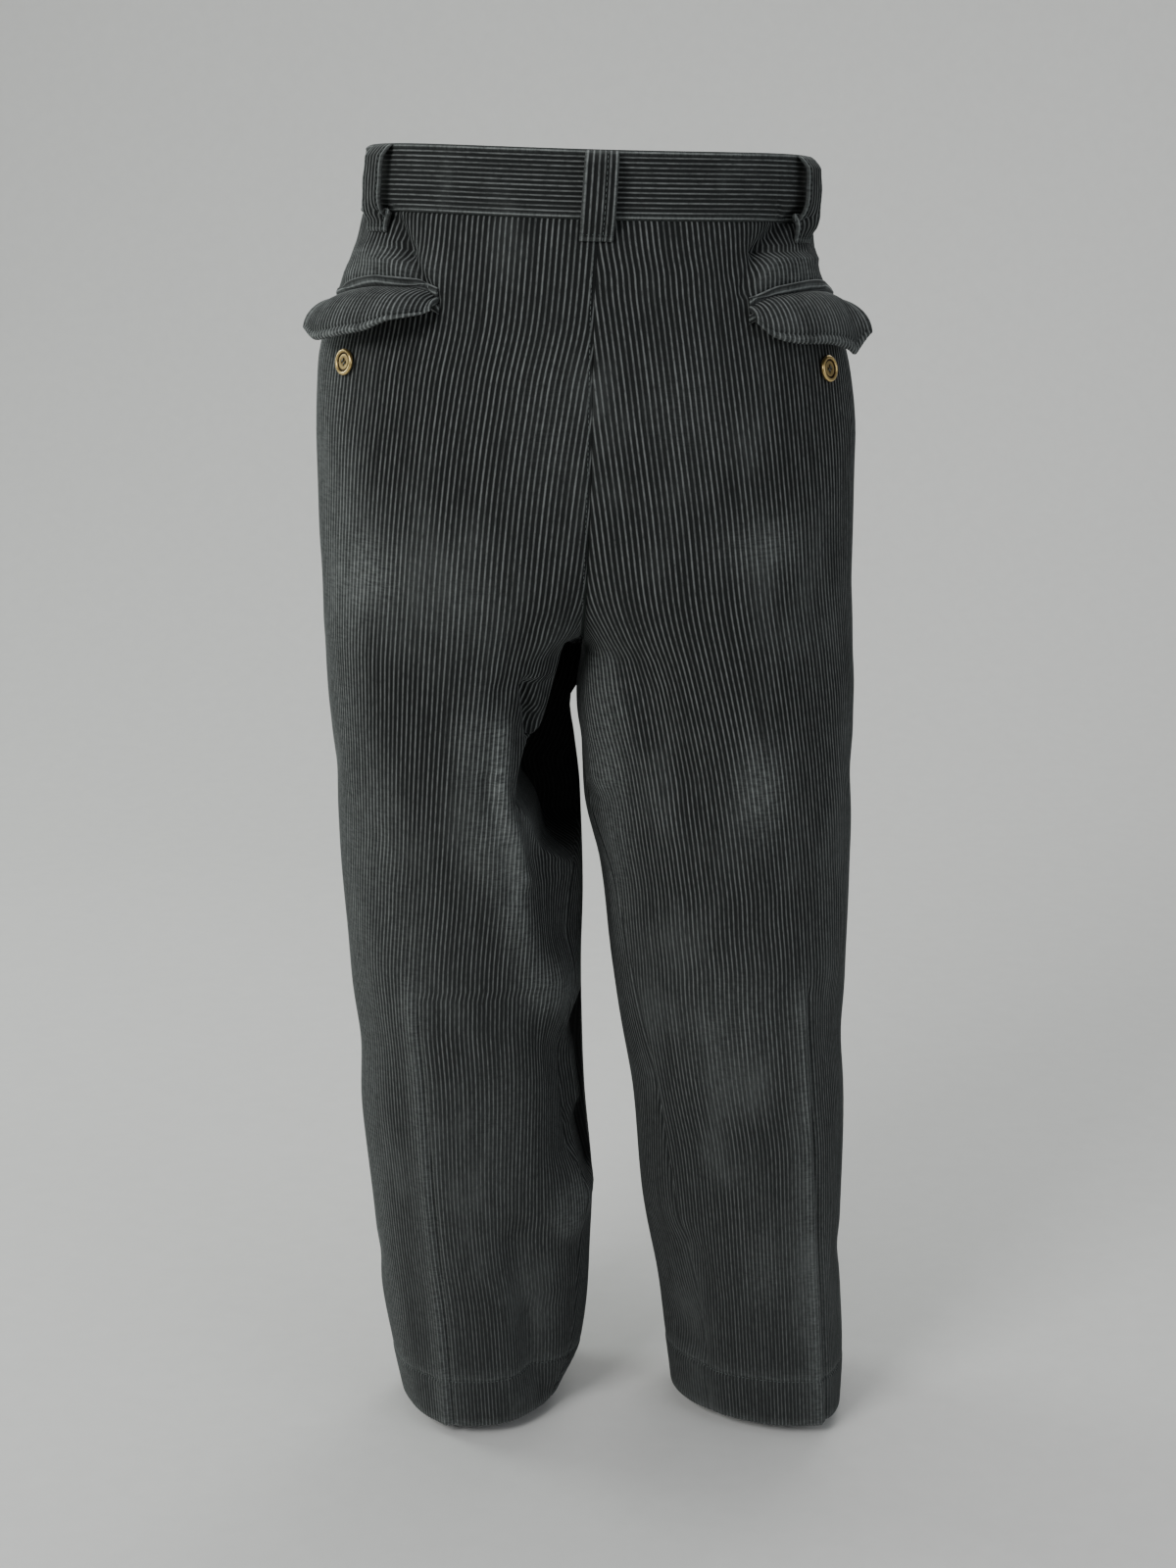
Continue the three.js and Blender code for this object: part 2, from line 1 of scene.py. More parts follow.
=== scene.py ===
"""Corduroy trousers, filled out as if worn: ribbed cloth panels, waistband, loops, hip pockets and sewing.

Sizes are in millimetres unless a name says otherwise; meshes are made in metres.
+Z is up, +Y the wearer's front, +X the wearer's right.
"""
import math

import bpy
import numpy as np
from mathutils import Matrix, Vector


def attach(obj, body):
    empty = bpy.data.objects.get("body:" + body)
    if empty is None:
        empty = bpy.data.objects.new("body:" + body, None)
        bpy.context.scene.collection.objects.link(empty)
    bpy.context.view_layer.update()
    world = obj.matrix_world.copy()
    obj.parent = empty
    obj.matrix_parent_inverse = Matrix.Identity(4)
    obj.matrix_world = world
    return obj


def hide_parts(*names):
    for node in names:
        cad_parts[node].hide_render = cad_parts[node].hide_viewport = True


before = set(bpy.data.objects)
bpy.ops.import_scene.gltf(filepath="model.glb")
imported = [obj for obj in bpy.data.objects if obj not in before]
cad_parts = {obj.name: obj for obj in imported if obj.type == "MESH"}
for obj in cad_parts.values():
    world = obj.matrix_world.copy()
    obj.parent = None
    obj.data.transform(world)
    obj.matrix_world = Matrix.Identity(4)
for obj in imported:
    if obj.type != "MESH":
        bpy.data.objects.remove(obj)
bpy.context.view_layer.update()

bl_info = {
    "name": "Corduroy Trousers",
    "version": (1, 0, 0),
    "blender": (4, 5, 0),
    "location": "3D View > Sidebar > Trousers",
    "description": "Builds ribbed corduroy trousers with their sewing, buttons and a plain studio",
    "category": "Add Mesh",
}

MM = 0.001

# ---- Sizes shared with the solids ------------------------------------------
CLOTH = 2.0
SEAM_GAP = 0.3
LENGTH = 950.0
CROTCH = -350.0
BAND_HEIGHT = 44.5
BAND_PROUD = 0.8
BAND_WALL = 3.2
FRONT_DROP = 30.0
SIDE_TILT = -0.027
DROP_FULL = -60.0
DROP_NONE = -260.0
LOOP_WIDTH = 21.0
LOOP_WALL = 2.2
LOOP_TOP = -0.6
LOOP_LENGTH = 58.0
LOOP_STAND = 8.2
LOOP_SEAT = 0.7
LIP_HEIGHT = 6.0
LIP_SEAT = 0.9
FLAP_WALL = 3.4
FLAP_SEAT = 1.2
FLAP_BEND_ROOM = 1.2
FLY = {"width": 36.0, "top": -46.0, "bottom": -215.0, "round": 45.0, "wall": 1.6}
HEM_DEPTH = 38.0
SIDES = {"left": -1, "right": 1}
SIDE_LOOP_TURN = {"left": 26.0, "right": 22.0}
FRONT_LOOP_TURN = -62.0
BACK_LOOP_LEAN = 0.04
BACK_LOOP_ASIDE = 0.5

# One row for each level down the garment, as in the solids.
SECTION_COLUMNS = ("level", "leftOuter", "leftInner", "rightInner", "rightOuter", "back", "front", "split",
                   "leftTwist", "rightTwist", "leftToe", "rightToe", "leftHeel", "rightHeel")
SECTION_ROWS = (
    (0, -155, 5, 5, 152, -114, 108, 0, 0, 0, 0, 0, 0, 0),
    (-45, -160, 4, 4, 153, -117, 110, 0, 0, 0, 0, 0, 0, 0),
    (-72, -167, 2.5, 2.5, 156, -120, 111, 0, 0, 0, 0, 0, 0, 0),
    (-95, -177, 1, 1, 167, -123, 113, 0, 0, 0, 0, 0, 0, 0),
    (-150, -193, 0, 0, 181, -130, 115, 0.02, 0, 0, 0, 0, 0, 0),
    (-205, -196, -1, -1, 186, -135, 115, 0.1, 0, 0, 0, 0, 0, 0),
    (-260, -196, -3, -3, 186, -132, 113, 0.28, 0, 0, 0, 0, 0, 0),
    (-300, -195, -5, -5, 186, -124, 110, 0.52, 0, 0, 0, 0, 0, 0),
    (-328, -195, -7, -7, 187, -117, 108, 0.8, 0, 0, 0, 0, 0, 0),
    (CROTCH, -194, -8.3, -7.7, 188, -112, 106, 1, 0, 0, 0, 0, 0, 0),
    (-385, -193, -12.9, -12.1, 190, -105, 101, 1, 2, 2, 2, 0, 0, 0),
    (-397, -192.5, -17, -11.6, 190, -103.5, 100, 1, 3, 3.5, 3, 0, 0, 0),
    (-425, -191, -13.5, -7.5, 191, -101, 98, 1, 6, 8, 5, 1, 0, 1),
    (-465, -188, -8.5, -6.2, 192, -97, 95, 1, 12, 15, 8, 2, 0, 2),
    (-520, -186, -6.8, 5, 191, -93, 92, 1, 19, 25, 12, 4, 1, 4),
    (-615, -181, -9, 16, 190, -87, 87, 1, 24, 34, 18, 8, 2, 9),
    (-700, -177, -6, 30, 191, -83, 85, 1, 25, 37, 23, 11, 3, 13),
    (-780, -171, -1, 38, 191, -80, 83, 1, 25, 40, 27, 13, 4, 17),
    (-860, -165, -4, 51, 193, -78, 81, 1, 25, 42, 31, 15, 5, 20),
    (-908, -158, -9, 57, 195, -77, 79, 1, 25, 43, 28, 16, 5, 22),
    (-LENGTH, -150, -27, 62, 194, -76, 78, 1, 25, 43, 10, 16, 0, 22),
)

# Folds: face, side, from (across, level) to (across, level), rise and reach. The first table is
# shared with the solids, but for its first two rows, which the hollow below takes over here. The
# second holds the finer creases that only this model has.
MAIN_FOLDS = (
    ("back", -1, -30, -380, -42, -462, -4, 25),
    ("back", -1, -34, -500, -20, -560, -9, 20),
    ("back", -1, -78, -400, -68, -480, 6, 20),
    ("back", -1, -68, -480, -30, -600, 6, 18),
    ("back", -1, -17, -650, -10, -730, -11, 20),
    ("back", -1, -8, -765, -22, -790, 4, 16),
    ("back", -1, -54, -800, -42, -915, -8, 18),
    ("back", 1, 66, -815, 74, -890, -5, 16),
    ("back", 1, 62, -430, 40, -372, -5, 20),
    ("back", -1, -172, -84, -112, -78, 5, 13),
    ("back", 1, 165, -86, 108, -80, 5, 13),
    ("back", 1, 128, -50, 98, -80, -5, 12),
    ("back", -1, -134, -50, -116, -74, -3, 11),
    ("back", -1, -130, -610, -109, -950, 2.5, 12),
    ("back", 1, 153, -610, 173, -950, 2.5, 12),
    ("front", -1, -18, -372, -72, -440, -9, 20),
    ("front", 1, 6, -372, 62, -446, -9, 20),
    ("front", -1, -60, -350, -150, -330, -5, 18),
    ("front", 1, 48, -350, 140, -326, -5, 18),
    ("front", -1, -140, -640, -60, -668, -5, 18),
    ("front", 1, 160, -650, 80, -676, -5, 18),
    ("front", -1, -60, -560, -26, -950, 3, 12),
    ("front", 1, 70, -560, 92, -950, 3, 12),
    ("front", -1, -130, -846, -50, -872, -6, 18),
    ("front", 1, 160, -850, 90, -880, -6, 18),
    ("outer", -1, -50, -640, 45, -690, -3, 28),
    ("outer", 1, -50, -630, 45, -684, -3, 28),
    ("outer", -1, 40, -150, 10, -300, -4, 20),
    ("outer", 1, 40, -150, 10, -300, -4, 20),
)
FINE_FOLDS = (
    ("back", -1, -22, -322, -78, -366, 2, 10),
    ("back", -1, -36, -318, -64, -362, -2, 8),
    ("back", -1, -45, -366, -40, -405, -9, 4),
    ("back", -1, -62, -396, -66, -440, 3, 7),
    ("back", -1, -66, -440, -46, -510, 4, 7),
    ("back", -1, -76, -430, -60, -520, -2.5, 6),
    ("back", 1, 18, -372, 54, -470, 2, 10),
    ("back", 1, 3, -352, 5, -440, 6, 13),
    ("back", -1, -137, -42, -122, -68, -3.4, 3.2),
    ("back", -1, -122, -68, -104, -100, -3.6, 3.2),
    ("back", -1, -150, -70, -124, -80, 3.0, 8),
    ("back", -1, -168, -72, -132, -64, 1.6, 3),
    ("back", -1, -172, -96, -108, -88, -1.6, 3),
    ("back", 1, 136, -47, 112, -68, -5.0, 5),
    ("back", 1, 112, -68, 101, -92, -4.0, 4.5),
    ("back", 1, 114, -73, 152, -76, 3.2, 4),
    ("back", 1, 150, -64, 128, -60, -2.0, 5),
    ("back", 1, 108, -97, 165, -95, -1.6, 3),
    ("back", -1, -100, -104, -88, -150, -1.2, 12),
    ("back", 1, 100, -110, 90, -160, -1.2, 12),
    ("back", -1, -46, -860, -36, -940, -4, 7),
    ("back", -1, -62, -838, -56, -930, 1.6, 9),
    ("back", -1, -30, -600, -18, -640, 2.4, 12),
    ("back", -1, -5, -772, -16, -800, 3, 7),
    ("back", -1, -150, -480, -120, -520, -1.5, 14),
    ("back", 1, 150, -520, 110, -560, -1.5, 14),
    ("back", -1, -88, -560, -96, -640, -1.4, 16),
    ("back", 1, 96, -600, 104, -700, -1.4, 16),
    ("back", 1, 70, -800, 96, -850, -1.6, 8),
    ("back", 1, 78, -900, 90, -945, -2, 9),
    ("front", -1, -10, -356, -56, -398, 2.5, 9),
    ("front", 1, 0, -356, 50, -402, 2.5, 9),
    ("front", -1, -130, -612, -70, -628, 2.2, 12),
    ("front", 1, 150, -620, 92, -640, 2.2, 12),
    ("front", -1, -120, -890, -60, -905, -2.4, 10),
    ("front", 1, 150, -894, 100, -908, -2.4, 10),
    ("front", -1, -110, -60, -132, -170, -1.6, 6),
    ("front", 1, 104, -60, 126, -170, -1.6, 6),
    ("front", -1, -100, -480, -84, -560, -1.6, 14),
    ("front", 1, 110, -480, 100, -560, -1.6, 14),
    ("outer", -1, -30, -420, 20, -470, -1.8, 16),
    ("outer", 1, -30, -430, 20, -486, -1.8, 16),
    ("outer", -1, -20, -830, 30, -856, -2.0, 14),
    ("outer", 1, -30, -820, 30, -850, -2.0, 14),
)
# Pressed creases have a sharp top; a shallow groove lies beside each.
PRESSED_FOLDS = (
    ("back", -1, -133, -590, -111, -952, 2.2, 4),
    ("back", 1, 151, -590, 173, -952, 2.2, 4),
    ("back", -1, -127.5, -600, -105, -952, -3.0, 1.8),
    ("back", 1, 156, -600, 178, -952, -3.0, 1.8),
    ("front", -1, -60, -540, -26, -952, 3, 5),
    ("front", 1, 70, -540, 92, -952, 3, 5),
)

# Where the left leg's back folds away under itself. edge: level and x of the sharp outer edge;
# roof: x and level of the upper edge; sill: levels where the floor starts to rise and ends.
HOLLOWS = (
    {
        "side": -1, "wall": 3.0, "floor": 4.0,
        "edge": ((-320, -6), (-336, -19), (-363, -27), (-382, -32), (-402, -38.5), (-411, -48),
                 (-419, -50.5), (-437, -55), (-448, -56.5), (-457, -51), (-466, -45.5), (-491, -38),
                 (-501, -28), (-516, -8)),
        "roof": ((-60, -300), (-20, -334), (-13, -346), (-7, -353), (0, -356)), "roof_depth": 6.0,
        "sill": (-482, -522),
    },
    {
        "side": -1, "wall": 3.5, "floor": -6.0,
        "edge": ((-600, -2), (-614, -9.5), (-648, -21), (-661, -17.6), (-688, -14.7), (-706, -12.5),
                 (-719, -18), (-737, -14.5), (-752, -11), (-778, -1)),
        "roof": ((-30, -602), (0, -606)), "roof_depth": 10.0,
        "sill": (-752, -780),
    },
)

# Between the thighs the two walls bow together to one side, so that no light falls through.
THIGH_BOW = {"shift": 5.0, "from": -6.0, "to": 96.0, "reach": 22.0,
             "top": (-350, -325), "foot": (-398, -384)}

# Rubbed and faded patches: side (0 for both), x, z, half width, half height, strength.
WORN_PATCHES = (
    (-1, -155, -283, 22, 30, 0.60), (-1, -64, -430, 7, 40, 0.60), (-1, -52, -500, 9, 44, 0.45),
    (-1, -138, -560, 24, 60, 0.2), (-1, -88, -300, 30, 40, 0.15), (-1, -70, -700, 30, 60, 0.12),
    (1, 118, -440, 18, 34, 0.50), (1, 14, -500, 14, 110, 0.4), (1, 100, -620, 34, 50, 0.2),
    (1, 120, -262, 30, 18, 0.35), (-1, -150, -470, 14, 50, 0.3),
    (1, 60, -170, 26, 40, 0.12), (1, 128, -820, 18, 30, 0.15), (-1, -30, -180, 24, 60, 0.12),
)

# The grain: where one chosen wale runs down each panel (x at each level).
GRAIN = {
    "front_left": ((0, -75), (-150, -88), (-300, -92), (-350, -90), (-440, -80), (-540, -64), (-952, -29)),
    "front_right": ((0, 72), (-150, 85), (-300, 90), (-350, 89), (-440, 82), (-540, 74), (-952, 93)),
    "back_left": ((0, -70), (-50, -74), (-110, -80), (-150, -88), (-200, -96), (-270, -104), (-325, -109),
             (-400, -115), (-500, -122), (-620, -130), (-668, -127), (-750, -124), (-806, -120),
             (-858, -114), (-960, -108)),
    "back_right": ((0, 78), (-50, 82), (-100, 88), (-160, 96), (-230, 105), (-300, 113), (-350, 122),
              (-430, 135), (-520, 145), (-618, 153), (-666, 157), (-724, 162), (-813, 166),
              (-862, 169), (-960, 174)),
}

# How far the wales spread at each level, as a share of their usual pitch: they open over the seat
# and close up towards the hems.
WALE_SPREAD = ((0, 1.10), (-150, 1.09), (-290, 1.07), (-400, 0.97), (-500, 0.93), (-640, 0.90), (-790, 0.79),
               (-960, 0.76))

# Hip pockets: place of the mouth and how far the flap's edge stands out and hangs, as in the solids.
MOUTH_COLUMNS = ("along", "across", "up", "out", "hang")
MOUTH_ROWS = {
    "left": ((0, -174, -105, 24, 18), (0.25, -161, -98, 28, 30), (0.5, -139, -93, 30, 27),
             (0.75, -120, -93, 31, 18), (0.9, -109, -95, 24, 12), (1, -102, -98, 12, 5)),
    "right": ((0, 163, -106, 28, 22), (0.25, 155, -100, 24, 37), (0.5, 141, -98, 23, 32),
              (0.75, 122, -99, 21, 28), (0.9, 111, -102, 17, 20), (1, 104, -105, 9, 7)),
}


# ---- Curves through the tables -----------------------------------------------
def curve_through(xs, ys):
    """A smooth curve through the rows that never overshoots them (monotone cubic)."""
    xs = np.asarray(xs, float)
    ys = np.asarray(ys, float)
    if xs[1] < xs[0]:
        xs, ys = xs[::-1], ys[::-1]
    steps = np.diff(ys) / np.diff(xs)
    slopes = np.empty_like(xs)
    slopes[0], slopes[-1] = steps[0], steps[-1]
    product = steps[:-1] * steps[1:]
    total = np.where(product > 0, steps[:-1] + steps[1:], 1.0)
    slopes[1:-1] = np.where(product > 0, 2 * product / total, 0.0)

    def value(x):
        x = np.asarray(x, float)
        i = np.clip(np.searchsorted(xs, x) - 1, 0, len(xs) - 2)
        width = xs[i + 1] - xs[i]
        t = (x - xs[i]) / width
        inside = np.clip(t, 0, 1)
        t2 = inside * inside
        t3 = t2 * inside
        middle = ys[i] * (2 * t3 - 3 * t2 + 1) + ys[i + 1] * (3 * t2 - 2 * t3)
        middle = middle + width * (slopes[i] * (t3 - 2 * t2 + inside) + slopes[i + 1] * (t3 - t2))
        return middle + np.where(t < 0, slopes[i], slopes[i + 1]) * (t - inside) * width

    return value


LEVELS = [row[0] for row in SECTION_ROWS]
SHAPE = {
    name: curve_through(LEVELS, [row[k] for row in SECTION_ROWS])
    for k, name in enumerate(SECTION_COLUMNS) if name != "level"
}
HOLLOW_CURVES = [
    (hollow, curve_through(*zip(*hollow["edge"])), curve_through(*zip(*hollow["roof"])))
    for hollow in HOLLOWS
]
GRAIN_CURVE = {name: curve_through(*zip(*rows)) for name, rows in GRAIN.items()}
WALE_SPREAD_CURVE = curve_through(*zip(*WALE_SPREAD))
MOUTH = {
    name: {
        column: curve_through([row[0] for row in rows], [row[k] for row in rows])
        for k, column in enumerate(MOUTH_COLUMNS) if k
    }
    for name, rows in MOUTH_ROWS.items()
}


def smooth_step(low, high, value):
    t = np.clip((value - low) / (high - low), 0, 1)
    return t * t * (3 - 2 * t)


def hump(value, middle, width):
    """1 at the middle, fading to 0 on both sides."""
    return np.exp(-((value - middle) / width) ** 2)


def name_of(side):
    return "left" if side < 0 else "right"


def raised(points, normals, out):
    return points + normals * np.asarray(out, float)[..., None]


def run_along(points):
    """How far along a row of points each one lies."""
    return np.concatenate([[0], np.cumsum(np.linalg.norm(np.diff(points, axis=0), axis=-1))])


# ---- The cloth surface ---------------------------------------------------------
# side is -1 or 1. turn goes round that half in radians: 0 at the outer side, positive over the
# back and negative over the front. All of these take arrays.
# Steps over which slopes are taken: round the leg in radians, and then round and down it in mm.
TURN_STEP = 0.01
ROUND_STEP = 0.5
DOWN_STEP = 0.7
# More than any turn, for where the cloth has no end in the middle.
NO_END = 9.0
# A fold shows in full where the cloth faces it this much.
FACING_FULL = 0.45
# The larger this is, the rounder the top of a pressed crease.
CREASE_ROUND = 0.02
# How far the cloth keeps off the middle.
MIDDLE_ROOM = 0.1


def split_at(level):
    return np.clip(SHAPE["split"](level), 0, 1)


def end_turn(level):
    return np.arccos(-split_at(level))


def middle_at(level):
    return (SHAPE["leftInner"](level) + SHAPE["rightInner"](level)) / 2


def bare(side, turn, level):
    """The leg's plain form, before its folds."""
    name = name_of(side)
    turn, level = np.broadcast_arrays(np.asarray(turn, float), np.asarray(level, float))
    inner = SHAPE[name + "Inner"](level)
    split = split_at(level)
    half = side * (SHAPE[name + "Outer"](level) - inner) / (1 + split)
    back = SHAPE["back"](level)
    front = SHAPE["front"](level)
    sine = np.sin(turn)
    lean = np.where(sine > 0, SHAPE[name + "Heel"](level), -SHAPE[name + "Toe"](level))
    x = inner + side * (split * half + half * np.cos(turn) + lean * sine * sine)
    y = (back + front) / 2 - (front - back) / 2 * sine
    drop = smooth_step(DROP_NONE, DROP_FULL, level)
    from_back = (y - back) / (front - back)
    z = level + drop * (SIDE_TILT * x - FRONT_DROP * from_back * from_back)
    return np.stack([x, y, z], axis=-1)


def outward(side, turn, level):
    along = bare(side, turn + TURN_STEP, level) - bare(side, turn - TURN_STEP, level)
    up = bare(side, turn, level + 1) - bare(side, turn, level - 1)
    normal = np.cross(along, up) * (-1 if side > 0 else 1)
    return normal / np.linalg.norm(normal, axis=-1, keepdims=True)


def facing(face, side, normal):
    return {"back": -normal[..., 1], "front": normal[..., 1], "outer": normal[..., 0] * side}[face]


def relief(side, point, normal, folds, pressed=False):
    """How far the folds lift the cloth; pressed ones have a sharp top."""
    rise = np.zeros(point.shape[:-1])
    for face, fold_side, across, level, to_across, to_level, height, reach in folds:
        if fold_side != side:
            continue
        shown = smooth_step(0, FACING_FULL, facing(face, side, normal))
        run = np.array([to_across - across, to_level - level], float)
        length = math.hypot(*run)
        here_across = point[..., 1 if face == "outer" else 0] - across
        here_level = point[..., 2] - level
        t = (here_across * run[0] + here_level * run[1]) / length**2
        beyond = np.maximum(0, np.maximum(-t, t - 1)) * length
        aside = (here_across * run[1] - here_level * run[0]) / length
        away = (beyond**2 + aside**2) / reach**2
        rise += height * shown * np.exp(-np.sqrt(away + CREASE_ROUND) if pressed else -away)
    return rise


# Worn cloth is never quite smooth: a few long, low waves (height, waves round, waves down, phase).
UNEVENNESS = ((0.55, 3.0, 0.021, 0.4), (0.45, 5.0, 0.013, 2.1), (0.35, 7.0, 0.034, 4.0),
              (0.22, 11.0, 0.05, 1.2))


def unevenness(side, turn, level):
    below_band = smooth_step(60, 120, -level)
    total = 0
    for height, around, down, phase in UNEVENNESS:
        wave = np.sin(around * turn + down * level + phase * side)
        total = total + height * wave * np.cos(down * 0.6 * level)
    return total * below_band


def hollow_share(side, point, hollow, edge, roof):
    """How far a spot lies inside a hollow, from 0 to 1."""
    x, z = point[..., 0], point[..., 2]
    if hollow["side"] != side:
        return np.zeros(x.shape)
    sill_top, sill_foot = hollow["sill"]
    share = smooth_step(0, hollow["wall"], x - edge(z))
    return share * smooth_step(0, hollow["roof_depth"], roof(x) - z) * smooth_step(sill_foot, sill_top, z)


def fold_away(side, point):
    """Pushes the cloth in to the floor of each hollow."""
    y = point[..., 1]
    for hollow, edge, roof in HOLLOW_CURVES:
        y = y + hollow_share(side, point, hollow, edge, roof) * np.maximum(0, hollow["floor"] - y)
    return np.stack([point[..., 0], y, point[..., 2]], axis=-1)


def folded(side, point):
    """How far a spot of the back lies inside any hollow, from 0 to 1."""
    shares = [hollow_share(side, point, *item) for item in HOLLOW_CURVES]
    return np.max(shares, axis=0) * (point[..., 1] < 30)


def bow_thighs(level, point):
    """Shifts both walls between the thighs to one side."""
    bow = THIGH_BOW
    along = np.clip((point[..., 1] - bow["from"]) / (bow["to"] - bow["from"]), 0, 1)
    near = hump(point[..., 0], middle_at(level), bow["reach"])
    window = smooth_step(*bow["foot"], level) * (1 - smooth_step(*bow["top"], level))
    shifted = point.copy()
    shifted[..., 0] += bow["shift"] * np.sin(math.pi * along) * near * window
    return shifted


def keep_aside(side, level, points):
    """Keeps each half on its own side of the middle."""
    limit = middle_at(level) + side * MIDDLE_ROOM
    points[..., 0] = np.where(side * (points[..., 0] - limit) < 0, limit, points[..., 0])
    return points


def surface(side, turn, level):
    """The points of the cloth's outer face."""
    turn, level = np.broadcast_arrays(np.asarray(turn, float), np.asarray(level, float))
    point = bare(side, turn, level)
    normal = outward(side, turn, level)
    rise = relief(side, point, normal, MAIN_FOLDS + FINE_FOLDS)
    rise += relief(side, point, normal, PRESSED_FOLDS, pressed=True) + unevenness(side, turn, level)
    point = keep_aside(side, level, point + normal * rise[..., None])
    return bow_thighs(level, fold_away(side, point))


def framed(side, turn, level):
    """Points of the outer face with the outward normals of the folded cloth."""
    turn, level = np.broadcast_arrays(np.asarray(turn, float), np.asarray(level, float))
    step = ROUND_STEP / girth(side, turn, level)
    end = np.where(split_at(level) < 1, end_turn(level), NO_END)
    along = surface(side, np.minimum(turn + step, end), level)
    along = along - surface(side, np.maximum(turn - step, -end), level)
    up = surface(side, turn, level + DOWN_STEP) - surface(side, turn, level - DOWN_STEP)
    normal = np.cross(along, up) * (-1 if side > 0 else 1)
    return surface(side, turn, level), normal / np.linalg.norm(normal, axis=-1, keepdims=True)


def cloth(side, turn, level, out=0.0):
    return raised(*framed(side, turn, level), out)


def girth(side, turn, level):
    """Millimetres of cloth that one radian of turn covers."""
    span = bare(side, turn + TURN_STEP, level) - bare(side, turn - TURN_STEP, level)
    return np.linalg.norm(span, axis=-1) / (2 * TURN_STEP)


def back_place(side, across, up):
    """The turn and level of the back's point with a given x and z."""
    name = name_of(side)
    level = np.asarray(up, float)
    for _ in range(6):
        inner = SHAPE[name + "Inner"](level)
        half = side * (SHAPE[name + "Outer"](level) - inner)
        turn = np.arccos(np.clip(side * (across - inner) / half, 0, 1))
        level = level + up - bare(side, turn, level)[..., 2]
    return turn, level


# ---- Meshes from grids ------------------------------------------------------------
CLOTH_SHARP = math.radians(82)
BUTTON_SHARP = math.radians(50)


def numbered(rows, columns, first=None, last=None, every=1):
    """Vertex numbers of a grid; columns outside first..last of a row fall onto that row's edge.
    With every, only each such column is used, and those between fall onto the nearest."""
    number = np.arange(rows * columns).reshape(rows, columns)
    column = np.arange(columns)
    if every > 1:
        column = np.minimum((column + every // 2) // every * every, columns - 1)
        column[-1] = columns - 1
    column = np.broadcast_to(column, (rows, columns))
    if first is not None:
        column = np.clip(column, first[:, None], last[:, None])
    return np.take_along_axis(number, column, axis=1)


def quads_of(number, flip=False):
    a, b = number[:-1, :-1].ravel(), number[:-1, 1:].ravel()
    c, d = number[1:, 1:].ravel(), number[1:, :-1].ravel()
    return np.stack([d, c, b, a] if flip else [a, b, c, d], axis=1)


def rim_of(over, under):
    """Quads that close the rim between two grids."""
    strips = []
    edges = ((over[0], under[0]), (under[-1], over[-1]),
             (under[:, 0], over[:, 0]), (over[:, -1], under[:, -1]))
    for a, b in edges:
        strips.append(np.stack([a[:-1], b[:-1], b[1:], a[1:]], axis=1))
    return np.concatenate(strips)


def tidy_faces(quads, kinds):
    """Splits off triangles where two corners of a quad are one, and drops what has no width."""
    rolled = np.roll(quads, -1, axis=1)
    same = quads == rolled
    count = same.sum(axis=1)
    single = quads[count == 1]
    where = same[count == 1].argmax(axis=1)
    keep = (where[:, None] + 1 + np.arange(3)[None, :]) % 4
    triangles = np.take_along_axis(single, keep, axis=1)
    return quads[count == 0], triangles, kinds[count == 0], kinds[count == 1]


def make_object(name, points, quads, materials, uv=None, paleness=None, kinds=None):
    """A mesh object from points in millimetres and quads, with faces turned outwards. kinds holds
    the material number of each quad."""
    kinds = np.zeros(len(quads), np.int32) if kinds is None else kinds
    plain, triangles, plain_kinds, triangle_kinds = tidy_faces(quads, kinds)
    corners = np.concatenate([plain.ravel(), triangles.ravel()])
    used, corners = np.unique(corners, return_inverse=True)
    points = points[used] * MM
    face_sizes = np.concatenate([np.full(len(plain), 4), np.full(len(triangles), 3)])
    starts = np.concatenate([[0], np.cumsum(face_sizes)[:-1]])
    mesh = bpy.data.meshes.new(name)
    mesh.vertices.add(len(points))
    mesh.vertices.foreach_set("co", points.astype(np.float32).ravel())
    mesh.loops.add(len(corners))
    mesh.loops.foreach_set("vertex_index", corners.astype(np.int32))
    mesh.polygons.add(len(face_sizes))
    mesh.polygons.foreach_set("loop_start", starts.astype(np.int32))
    mesh.update(calc_edges=True)
    if uv is not None:
        layer = mesh.uv_layers.new(name="cloth_mm")
        layer.data.foreach_set("uv", uv[used][corners].astype(np.float32).ravel())
    if paleness is not None:
        layer = mesh.attributes.new("paleness", "FLOAT", "POINT")
        layer.data.foreach_set("value", paleness[used].astype(np.float32).ravel())
    for material in materials:
        mesh.materials.append(material)
    all_kinds = np.concatenate([plain_kinds, triangle_kinds])
    mesh.polygons.foreach_set("material_index", all_kinds.astype(np.int32))
    mesh.validate()
    if closed_volume(mesh) < 0:
        mesh.flip_normals()
    mesh.polygons.foreach_set("use_smooth", np.ones(len(mesh.polygons), bool))
    mesh.set_sharp_from_angle(angle=CLOTH_SHARP)
    piece = bpy.data.objects.new(name, mesh)
    bpy.context.scene.collection.objects.link(piece)
    return piece


def closed_volume(mesh):
    mesh.calc_loop_triangles()
    corners = np.empty(len(mesh.loop_triangles) * 3, np.int32)
    mesh.loop_triangles.foreach_get("vertices", corners)
    points = np.empty(len(mesh.vertices) * 3, np.float32)
    mesh.vertices.foreach_get("co", points)
    a, b, c = points.reshape(-1, 3)[corners].reshape(-1, 3, 3).transpose(1, 0, 2).astype(float)
    return float(np.einsum("ij,ij->i", a, np.cross(b, c)).sum() / 6)


def ribs(position, pitch, height):
    """Height of the cloth over its base at a distance across the wales: round crests, sharp valleys."""
    phase = np.abs(position / pitch - np.round(position / pitch)) * 2
    return -height * (1 - np.sqrt(np.clip(phase, 0, 1)))


